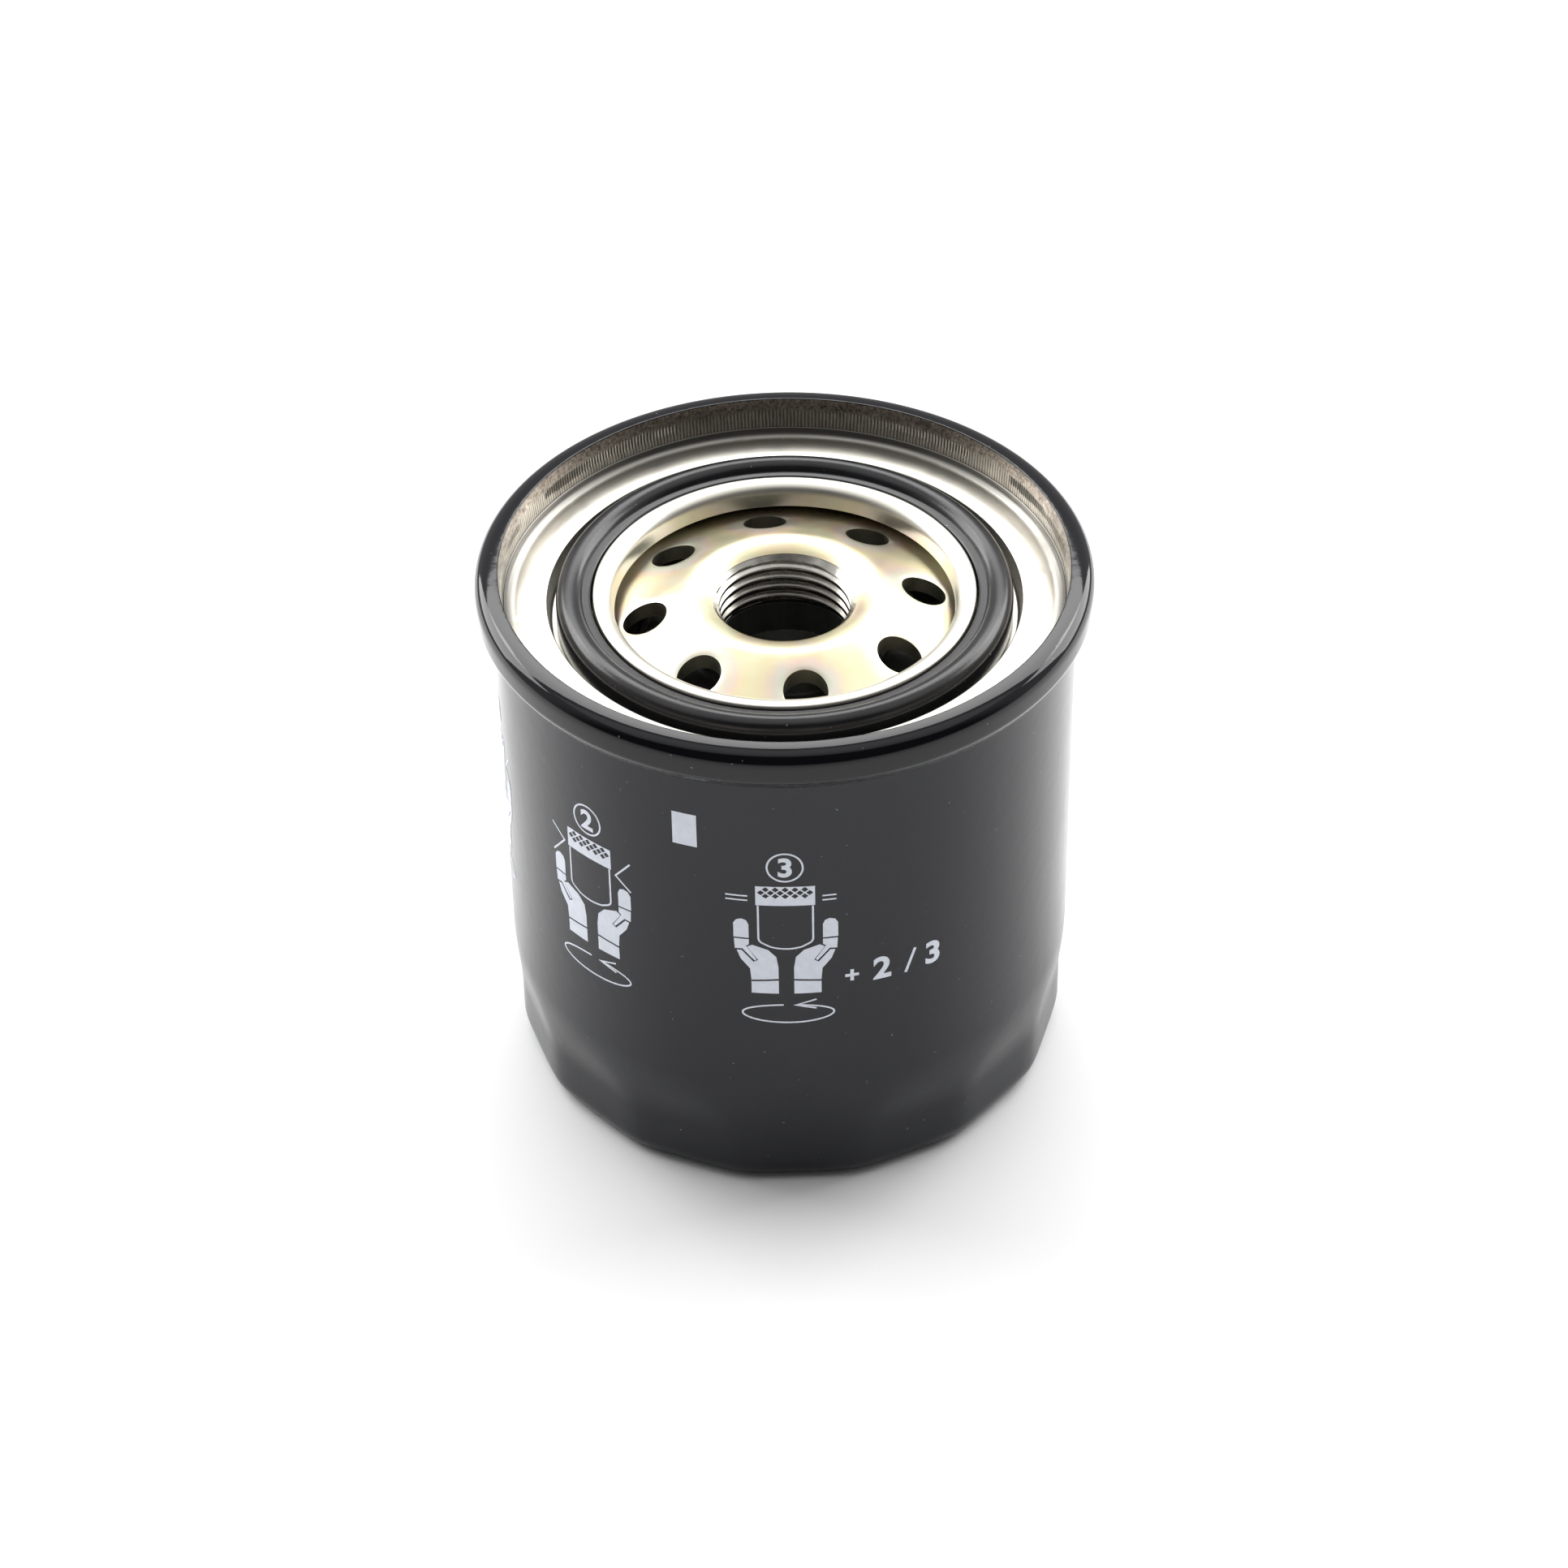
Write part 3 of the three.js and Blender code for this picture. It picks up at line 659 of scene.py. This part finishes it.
def make_plate():
    top = [(9.9, 73.3), (10.6, 73.72), (11.8, 74.1), (13.3, 74.2), (15, 73.72), (17, 72.98),
           (19.2, 72.1), (22, 71.0), (24.0, 70.25), (25.4, 69.9)]
    under = [(24.6, 67.5), (21.5, 68.75), (18.4, 70.0), (16.2, 70.95), (14.2, 71.5), (12.6, 71.5),
             (11.5, 70.6)]
    rim = rounded([
        (27, 69.9, 0), (33.1, 69.9, 1.0), (34.0, 72.2, 0.8), (37.6, 72.2, 0.4), (37.6, 69.8, 0.4),
        (34.9, 69.8, 1.0), (33.8, 67.5, 1.0), (26.5, 67.5, 0),
    ])
    profile = [p for p in flowing(top, 4) if p[0] < 25.3]
    profile += [*rim, *flowing(under, 4), (11.5, 70.0), (11.5, 65.9), (11.2, 65.6), (9.9, 65.6)]
    profile = divided(profile, 0.33, lambda r, z: 15.4 < r < 23.2 and z > 69.9)

    def rolled_edges(azimuth, radius, height):
        inside = from_nearest(azimuth, FIRST_INLET, INLETS)
        away = np.hypot(radius * np.cos(inside) - INLET_CIRCLE, radius * np.sin(inside)) - INLET_R
        upper = (height > 71.2 + (INLET_CIRCLE - radius) * 0.39) * (radius > 14) * (radius < 25)
        return radius, height - 0.12 * np.exp(-np.clip(away, 0, 9) / 0.25) * upper

    mesh = turned("plate_disc", profile, 480, rolled_edges)
    piece = finish_mesh("plate_disc", mesh, "housing", ["thread_plate"], 38)
    paint(piece, ZINC)
    drills = []
    for k in range(INLETS):
        azimuth = FIRST_INLET + TAU * k / INLETS
        place = (INLET_CIRCLE * math.cos(azimuth), INLET_CIRCLE * math.sin(azimuth), 70.5)
        drills.append(cylinder("drill", INLET_R, 12, place, 72))
    cut_with(piece, drills, 38)

    def cut_thread(azimuth, radius, height):
        phase = ((height - 0.28) / THREAD_PITCH - azimuth / TAU) % 1.0
        tooth = np.clip((0.4375 - np.abs(phase - 0.5)) / 0.3125, 0, 1)
        bore = THREAD_MINOR + THREAD_DEPTH * (1 - tooth * tooth * (3 - 2 * tooth) * 0.35 - tooth * 0.65)
        bore = np.maximum(bore, THREAD_MINOR + (height - 72.25) * 1.05)
        bore = np.maximum(bore, THREAD_MINOR + (66.2 - height) * 1.0)
        return np.where(radius < 9, bore, radius), height

    rows = [(8.9, z) for z in np.arange(65.6, 73.36, THREAD_PITCH / 18)]
    rows += [(10.3, 73.42), (10.2, 72.9), (10.0, 72.5), (10.0, 65.6)]
    mesh = turned("stud_thread", rows, 216, cut_thread)
    piece = finish_mesh("stud_thread", mesh, "housing", ["thread_plate"], 50)
    paint(piece, TAPPED)


def make_gasket():
    size = 1.85
    middle = Vector((29.25, GASKET_TOP - size))
    bead = [
        (middle.x + size * math.cos(math.radians(a)), middle.y + size * math.sin(math.radians(a)), 0)
        for a in range(157, -1, -6)
    ]
    profile = rounded([(26.35, 71.2, 0.3), (26.35, 74.6, 0.35), *bead, (31.1, 71.2, 0.3)])
    mesh = turned("sealing_ring", profile, 360)
    paint(finish_mesh("sealing_ring", mesh, "housing", ["gasket"]), GASKET_RUBBER)


def make_valve():
    profile = rounded([
        (11.85, 65.0, 0.2), (11.85, 69.0, 0.25), (13.2, 69.0, 0.4), (13.8, 66.8, 0.8), (19.2, 66.5, 0.2),
        (19.5, 66.85, 0.15), (20.0, 66.85, 0.15), (20.3, 66.45, 0.2), (26.5, 66.4, 1.2), (28.5, 67.35, 0.12),
        (29.05, 67.15, 0.12), (28.4, 66.0, 0.8), (26.8, 65.2, 0.8), (20.0, 65.0, 1.0), (13.6, 65.0, 0.6),
    ])
    mesh = turned("drain_flap", profile, 240)
    paint(finish_mesh("drain_flap", mesh, "anti_drain", ["anti_drain_valve"]), VALVE_RUBBER)


# ---------------------------------------------------------------- element

def lathe_piece(name, corners, body, node, material, segments=180, sharp=40):
    mesh = turned(name, rounded(corners), segments)
    return paint(finish_mesh(name, mesh, body, [node], sharp), material)


def make_end_caps():
    for name, node, level, side, inner in (
        ("cap_open_end", "upper_end_cap", ELEMENT_TOP, 1, 11.3),
        ("cap_bypass_end", "lower_end_cap", ELEMENT_FLOOR, -1, 8.5),
    ):
        profile = [
            (inner, 0, 0.1), (16.5, 0, 0.5), (17.1, -0.28, 0.5), (33.0, -0.28, 0.5), (33.6, 0, 0.5),
            (CAP_R, 0, 0.5), (CAP_R, -4.8, 0.1), (CAP_R - 0.5, -4.8, 0.1), (CAP_R - 0.5, -0.5, 0.2),
            (inner, -0.5, 0.1),
        ]
        profile = [(r, level + side * z, f) for r, z, f in profile]
        if side < 0:
            profile.reverse()
        lathe_piece(name, profile, "element", node, TIN)


def pleat_lines():
    """The folded paper's two faces, as closed lines with matching points."""
    pitch = TAU / PLEATS
    half = 0.3
    faces = ([], [])
    for i in range(PLEATS):
        for radius, size, way, angle in ((34.1, 0.8, 1, i * pitch), (14.5, 0.5, -1, (i + 0.5) * pitch)):
            out = Vector((math.cos(angle), math.sin(angle)))
            aside = Vector((-out.y, out.x))
            for k in range(-4, 5):
                turn = math.radians(22 * k)
                direction = out * math.cos(turn) * way + aside * math.sin(turn)
                for face, shift in zip(faces, (half * way, -half * way)):
                    face.append(tuple(out * radius + direction * (size + shift)))
    return faces


def make_media():
    outside, inside = pleat_lines()
    mesh = extruded("paper_pleats", outside, PAPER_FLOOR, PAPER_TOP, inside)
    piece = finish_mesh("paper_pleats", mesh, "element", ["pleated_media"], 50)
    paint(piece, PAPER)
    section = [
        (29.5, -0.8), (33.3, -0.8), (33.5, -0.6), (33.5, 0.6), (33.3, 0.8), (29.5, 0.8),
        (29.5, 0.4), (33.1, 0.4), (33.1, -0.4), (29.5, -0.4),
    ]
    mesh = extruded("seam_clip", section, PAPER_FLOOR, PAPER_TOP)
    mesh.transform(Matrix.Rotation(math.pi / PLEATS, 4, "Z"))
    paint(finish_mesh("seam_clip", mesh, "element", ["media_clip"]), TIN)


def make_potting():
    for name, node in (("resin_top", "upper_adhesive"), ("resin_bottom", "lower_adhesive")):
        _, low, high = reach(node)
        corners = [(13.35, low, 0.3), (13.35, high, 0.5), (35.15, high, 0.6), (35.15, low, 0.3)]
        lathe_piece(name, corners, "element", node, RESIN)


def make_tube():
    wall = 0.6
    corners = [
        (TUBE_R - wall, TUBE_FLOOR, 0.1), (TUBE_R, TUBE_FLOOR, 0.1), (TUBE_R, TUBE_TOP, 0.1),
        (TUBE_R - wall, TUBE_TOP, 0.1),
    ]
    piece = lathe_piece("core_tube", corners, "element", "centre_tube", TIN, 144)
    height = TUBE_TOP - TUBE_FLOOR
    punches = []
    for row in range(4):
        for k in range(3):
            turn = Matrix.Rotation(TAU * (k + row % 2 / 2) / 6, 4, "Z") @ Matrix.Rotation(math.pi / 2, 4, "Y")
            place = (0, 0, TUBE_FLOOR + height * (row + 1) / 5)
            punches.append(cylinder("punch", 2, 4 * TUBE_R, place, 32, turn))
    cut_with(piece, punches)


def make_seal():
    lathe_piece("neck_grommet", [
        (9.4, 60.4, 0.2), (9.4, 65.3, 0.2), (11.2, 65.3, 0.2), (11.4, 63.3, 0.3), (13.3, 63.1, 0.3),
        (13.3, 62.6, 0.15), (11.0, 62.6, 0.1), (11.0, 61.5, 0.1), (12.0, 61.3, 0.2), (12.0, 60.4, 0.3),
    ], "element", "element_seal", VALVE_RUBBER)


# ---------------------------------------------------------------- bypass valve and springs

def make_bypass():
    _, floor, lip = reach("bypass_seat")
    lathe_piece("relief_seat", [
        (5.6, floor, 0.1), (12, floor, 0.1), (12, floor + 0.6, 0.1), (7, floor + 0.6, 0.3), (6.4, lip, 0.15),
        (5.6, lip, 0.15),
    ], "element", "bypass_seat", PRESSED)
    _, floor, top = reach("bypass_cage")
    cage = lathe_piece("relief_cage", [
        (9.3, floor, 0.1), (12, floor, 0.1), (12, floor + 0.5, 0.1), (9.8, floor + 0.5, 0.5), (9.8, top, 1.2),
        (3.2, top, 0.3), (2.6, top - 0.35, 0.2), (1.8, top - 0.35, 0.05), (1.8, top - 0.5, 0.05),
        (9.3, top - 0.5, 0.7),
    ], "element", "bypass_cage", PRESSED, 144)
    windows = []
    outline = rounded([(5.5, -3.5, 1.2), (5.5, 3.5, 1.2), (-5.5, 3.5, 1.2), (-5.5, -3.5, 1.2)])
    for k in range(2):
        window = extruded("window", outline, -15, 15)
        window.transform(
            Matrix.Translation((0, 0, 24.5 * MM)) @ Matrix.Rotation(k * math.pi / 2, 4, "Z")
            @ Matrix.Rotation(math.pi / 2, 4, "Y")
        )
        windows.append(window)
    cut_with(cage, windows)
    _, floor, top = reach("bypass_poppet")
    lathe_piece("relief_poppet", [
        (1.8, floor, 0.1), (8, floor, 0.35), (8, top, 0.1), (7.5, top, 0.1), (7.5, floor + 0.8, 0.25),
        (1.8, floor + 0.8, 0.1),
    ], "poppet", "bypass_poppet", PRESSED, 120)
    _, floor, top = reach("poppet_seal")
    lathe_piece("relief_washer", [(1.8, floor, 0.15), (7.8, floor, 0.3), (7.8, top, 0.3), (1.8, top, 0.15)],
                "poppet", "poppet_seal", VALVE_RUBBER, 120)
    _, floor, top = reach("poppet_stem")
    lathe_piece("relief_rivet", [
        (0, floor, 0), (3.0, floor, 0.3), (3.4, floor + 0.8, 0.1), (1.5, floor + 0.8, 0.15), (1.5, top, 0.5),
        (0, top, 0),
    ], "poppet", "poppet_stem", PRESSED, 72)
    _, low, high = reach("spring_seat")
    lathe_piece("support_seat", [
        (9, high - 0.6, 0.1), (9, high, 0.1), (22, high, 0.6), (22, low, 0.1), (21.4, low, 0.1),
        (21.4, high - 0.6, 0.3),
    ], "element", "spring_seat", PRESSED)


def coil(name, node, radii, wire, turns, body):
    """A round-wire compression spring with closed, ground ends."""
    low_corner, high_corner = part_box(node)
    low, high = low_corner.z / MM, high_corner.z / MM
    steps = int(turns * 48)
    closed = wire * 0.95
    centres = []
    for i in range(steps + 1):
        turn = turns * i / steps
        from_end = min(turn, turns - turn)
        climb = closed * min(from_end, 0.8) + 0.28 * wire
        if from_end > 0.8:
            middle = (turn - 0.8) / (turns - 1.6)
            base = closed * 0.8 + 0.28 * wire
            middle -= 0.06 * math.sin(TAU * middle)
            height = low + base + (high - low - 2 * base) * middle
        else:
            height = low + climb if turn < turns / 2 else high - climb
        radius = radii[0] + (radii[1] - radii[0]) * turn / turns
        angle = TAU * turn
        centres.append(Vector((radius * math.cos(angle), radius * math.sin(angle), height)))
    around = zip(centres[:1] + centres[:-1], centres[1:] + centres[-1:])
    tangents = [(b - a).normalized() for a, b in around]
    mesh = swept(name, centres, tangents, wire)
    for vertex in mesh.vertices:
        vertex.co.z = min(max(vertex.co.z, low * MM), high * MM)
    piece = finish_mesh(name, mesh, body, [node], 50)
    paint(piece, WIRE)
    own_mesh(piece)


# ---------------------------------------------------------------- print on the can

def line(points, width):
    """A stroke through points, as a row of four-cornered loops."""
    points = [Vector(p) for p in points]
    sides = []
    for i, here in enumerate(points):
        back = (here - points[i - 1]).normalized() if i else None
        ahead = (points[i + 1] - here).normalized() if i + 1 < len(points) else None
        way = ((back or ahead) + (ahead or back)).normalized()
        side = Vector((-way.y, way.x)) * width / 2
        if back and ahead:
            side /= max(0.4, math.cos(back.angle(ahead) / 2))
        sides.append((tuple(here + side), tuple(here - side)))
    return [[a[0], a[1], b[1], b[0]] for a, b in zip(sides, sides[1:])]


def ellipse(x, y, across, up, start=0.0, end=360.0, steps=48):
    angles = np.radians(np.linspace(start, end, steps))
    return [(x + across * math.cos(a), y + up * math.sin(a)) for a in angles]


def filter_icon():
    """A small filter between two turning hands, round x = 0, as (filled loops, strokes)."""
    loops = [
        ellipse(0, 58.8, 2.5, 2.5)[:-1], ellipse(0, 58.8, 2.24, 2.24)[:-1],
        [(-3.95, 52.2), (3.95, 52.2), (3.95, 55.5), (-3.95, 55.5)],
    ]
    for height, count in ((54.98, 5), (54.42, 6), (53.86, 5)):
        for k in range(count):
            x = (k - (count - 1) / 2) * 1.3
            loops.append([(x - 0.50, height), (x, height - 0.44), (x + 0.50, height), (x, height + 0.44)])
    hand = [
        [(-7.0, 46.35), (-4.95, 46.35), (-4.95, 48.7), (-5.25, 49.4), (-5.9, 49.68), (-6.6, 49.45),
         (-7.0, 48.8)],
        [(-6.95, 46.1), (-4.95, 46.1), (-4.95, 45.2), (-5.35, 44.9), (-3.95, 42.6), (-4.2, 42.35),
         (-5.85, 44.4), (-6.85, 44.3)],
        [(-5.2, 44.75), (-4.5, 45.15), (-2.4, 44.35), (-1.3, 43.1), (-1.04, 41.2), (-1.04, 39.2),
         (-4.7, 38.9), (-4.85, 40.9), (-6.1, 42.6), (-6.6, 44.05), (-5.95, 44.1), (-4.35, 42.1),
         (-3.75, 42.5)],
        [(-4.7, 38.6), (-1.04, 38.9), (-1.04, 36.55), (-4.7, 36.55)],
    ]
    for loop in hand:
        loops += [loop, [(-x, y) for x, y in loop]]
    cup = [
        (-3.65, 52.1), *ellipse(-2.65, 46.4, 1.0, 1.0, 180, 240, 5), *ellipse(0, 52.1, 7.2, 7.5, 253, 287, 9),
        *ellipse(2.65, 46.4, 1.0, 1.0, 300, 360, 5), (3.65, 52.1),
    ]
    strokes = line(cup, 0.26) + line(ellipse(0.2, 32.9, 6.2, 1.6, 96, 436, 60), 0.26)
    strokes += line([(4.0, 35.35), (1.2, 34.45), (4.0, 33.75)], 0.26)
    return loops, strokes


def drawn(name, loops):
    """The filled area inside closed loops, as a flat mesh in millimetres."""
    curve = bpy.data.curves.new(name, "CURVE")
    curve.dimensions = "2D"
    curve.fill_mode = "BOTH"
    for loop in loops:
        spline = curve.splines.new("POLY")
        spline.points.add(len(loop) - 1)
        for point, (x, y) in zip(spline.points, loop):
            point.co = (x, y, 0, 1)
        spline.use_cyclic_u = True
    return flat_mesh(curve)


def stroked(name, quads):
    """Strokes as a flat mesh in millimetres."""
    mesh = bpy.data.meshes.new(name)
    verts = [(x, y, 0) for quad in quads for x, y in quad]
    mesh.from_pydata(verts, [], [tuple(range(i, i + 4)) for i in range(0, len(verts), 4)])
    work = bmesh.new()
    work.from_mesh(mesh)
    bmesh.ops.remove_doubles(work, verts=work.verts, dist=1e-5)
    work.to_mesh(mesh)
    work.free()
    return mesh


def flat_mesh(curve):
    holder = bpy.data.objects.new(curve.name, curve)
    bpy.context.scene.collection.objects.link(holder)
    bpy.context.view_layer.update()
    mesh = bpy.data.meshes.new_from_object(holder.evaluated_get(bpy.context.evaluated_depsgraph_get()))
    bpy.data.objects.remove(holder)
    return mesh


def digit(text, x, y, height):
    """A bold digit centred at a place."""
    curve = bpy.data.curves.new("digit", "FONT")
    curve.body = text
    curve.size = height / 0.73
    curve.offset = height * 0.042
    mesh = flat_mesh(curve)
    low = np.min([v.co[:] for v in mesh.vertices], axis=0)
    high = np.max([v.co[:] for v in mesh.vertices], axis=0)
    middle = (low + high) / 2
    mesh.transform(Matrix.Translation((x - middle[0], y - middle[1], 0)))
    return mesh


def wrapped(work, mesh, azimuth):
    """Adds a flat mesh to the print, laid on the can with its x = 0 at an azimuth in degrees."""
    part = bmesh.new()
    part.from_mesh(mesh)
    xs = [v.co.x for v in part.verts]
    for cut in np.arange(math.ceil(min(xs)), max(xs), 0.8):
        everything = part.verts[:] + part.edges[:] + part.faces[:]
        bmesh.ops.bisect_plane(part, geom=everything, plane_co=(cut, 0, 0), plane_no=(1, 0, 0), dist=1e-5)
    skin = bmesh.ops.extrude_face_region(part, geom=part.faces[:])["geom"]
    raised = {v for v in skin if isinstance(v, bmesh.types.BMVert)}
    for vertex in part.verts:
        angle = math.radians(azimuth) + vertex.co.x / CAN_R
        radius = CAN_R + (0.035 if vertex in raised else 0.01)
        vertex.co = Vector((radius * math.cos(angle), radius * math.sin(angle), vertex.co.y)) * MM
    bmesh.ops.recalc_face_normals(part, faces=part.faces)
    made = bpy.data.meshes.new("print_part")
    part.to_mesh(made)
    part.free()
    work.from_mesh(made)
    bpy.data.meshes.remove(made)


def make_print():
    work = bmesh.new()
    for number, azimuth in (("3", -90.8), ("2", -132.4), ("1", -174.0)):
        loops, strokes = filter_icon()
        wrapped(work, drawn("icon", loops), azimuth)
        wrapped(work, stroked("outlines", strokes), azimuth)
        wrapped(work, digit(number, 0, 58.8, 3.2), azimuth)
    sides = []
    for x0, x1 in ((-7.97, -5.0), (4.92, 6.8)):
        for height in (53.7, 52.95):
            sides += line([(x0, height), (x1, height)], 0.24)
    wrapped(work, stroked("ticks", sides), -90.8)
    chevrons = line([(-7.2, 54.5), (-4.7, 52.6), (-7.2, 49.6)], 0.26)
    chevrons += line([(7.1, 54.5), (4.7, 51.6), (7.1, 49.6)], 0.26)
    for azimuth in (-132.4, -174.0):
        wrapped(work, stroked("chevrons", chevrons), azimuth)
    sum_marks = [
        [(-0.95, 38.75), (-0.25, 38.75), (-0.25, 38.0), (0.25, 38.0), (0.25, 38.75), (0.95, 38.75),
         (0.95, 39.25), (0.25, 39.25), (0.25, 40.0), (-0.25, 40.0), (-0.25, 39.25), (-0.95, 39.25)],
    ]
    wrapped(work, drawn("plus", sum_marks), -78.0)
    wrapped(work, digit("2", 0, 39.3, 3.8), -71.9)
    wrapped(work, stroked("slash", line([(-0.7, 37.3), (0.7, 41.2)], 0.42)), -66.0)
    wrapped(work, digit("3", 0, 39.3, 3.8), -61.1)
    wrapped(work, drawn("square", [[(-1.7, 61.0), (1.7, 61.0), (1.7, 66.4), (-1.7, 66.4)]]), -110.05)
    mesh = bpy.data.meshes.new("printed_marks")
    work.to_mesh(mesh)
    work.free()
    piece = finish_mesh("printed_marks", mesh, "housing", None)
    paint(piece, INK)


make_can()
make_lid()
make_compound()
make_plate()
make_gasket()
make_valve()
make_end_caps()
make_media()
make_potting()
make_tube()
make_seal()
make_bypass()
coil("relief_spring", "bypass_spring", (6.6, 6.6), 0.9, 7, "element")
coil("support_spring", "element_spring", (14, 19.5), 1.8, 3.6, "housing")
make_print()


# ---------------------------------------------------------------- stage, light, camera

def make_stage():
    mesh = bpy.data.meshes.new("floor")
    size = 6.0
    corners = [(-size, -size, 0), (size, -size, 0), (size, size, 0), (-size, size, 0)]
    mesh.from_pydata(corners, [], [(0, 1, 2, 3)])
    floor = bpy.data.objects.new("floor", mesh)
    bpy.context.scene.collection.objects.link(floor)
    n = Nodes("pale_floor", Metallic=0.0, Roughness=0.9, Specular_IOR_Level=0.1)
    n.colour(n.mix(n.noise(3, 2, 0.5), (0.93, 0.93, 0.93), (0.95, 0.95, 0.95)))
    mesh.materials.append(n.material)


def softbox(name, place, target, size, luminance):
    """A rectangular light of an even luminance, aimed at a target."""
    light = bpy.data.lights.new(name, "AREA")
    light.shape = "RECTANGLE"
    light.size, light.size_y = size
    light.energy = luminance * math.pi * size[0] * size[1]
    lamp = bpy.data.objects.new(name, light)
    lamp.location = place
    lamp.rotation_mode = "QUATERNION"
    lamp.rotation_quaternion = (Vector(target) - Vector(place)).to_track_quat("-Z", "Y")
    bpy.context.scene.collection.objects.link(lamp)


def make_light():
    softbox("back_top", (0, 0.78, 0.9), (0, 0.78, 0), (1.5, 0.66), 5.4)
    softbox("overhead", (0, -0.06, 0.9), (0, -0.06, 0), (1.5, 0.68), 0.6)
    for side in (-1, 1):
        softbox("side", (side * 0.62, 0.40, 0.42), (side * 0.12, 0, 0), (0.5, 0.5), 6.4)
    world = bpy.data.worlds.new("studio")
    bpy.context.scene.world = world
    world.use_nodes = True
    tree = world.node_tree
    place = tree.nodes.new("ShaderNodeTexCoord").outputs["Generated"]
    split = tree.nodes.new("ShaderNodeSeparateXYZ")
    ramp = tree.nodes.new("ShaderNodeMapRange")
    tree.links.new(place, split.inputs[0])
    tree.links.new(split.outputs[1], ramp.inputs[0])
    ramp.interpolation_type = "SMOOTHSTEP"
    for socket, value in zip(ramp.inputs[1:5], (-0.45, 0.05, 0.10, 0.7)):
        socket.default_value = value
    tree.links.new(ramp.outputs[0], tree.nodes["Background"].inputs["Strength"])
    tree.nodes["Background"].inputs["Color"].default_value = (1.0, 1.0, 1.0, 1.0)


def make_camera():
    data = bpy.data.cameras.new("camera")
    data.lens = 97.11
    data.sensor_width = 36
    camera = bpy.data.objects.new("camera", data)
    bpy.context.scene.collection.objects.link(camera)
    tilt, pan, roll = 0.6903, -0.0011, -0.0162
    ahead = Vector((math.sin(pan) * math.cos(tilt), math.cos(pan) * math.cos(tilt), -math.sin(tilt)))
    right = ahead.cross(Vector((0, 0, 1))).normalized()
    up = right.cross(ahead)
    across = right * math.cos(roll) + up * math.sin(roll)
    upward = up * math.cos(roll) - right * math.sin(roll)
    turn = Matrix((across, upward, -ahead)).transposed().to_4x4()
    camera.matrix_world = Matrix.Translation((0, -0.45982, 0.42)) @ turn
    bpy.context.scene.camera = camera


make_stage()
make_light()
make_camera()
bpy.context.scene.view_settings.view_transform = "Standard"
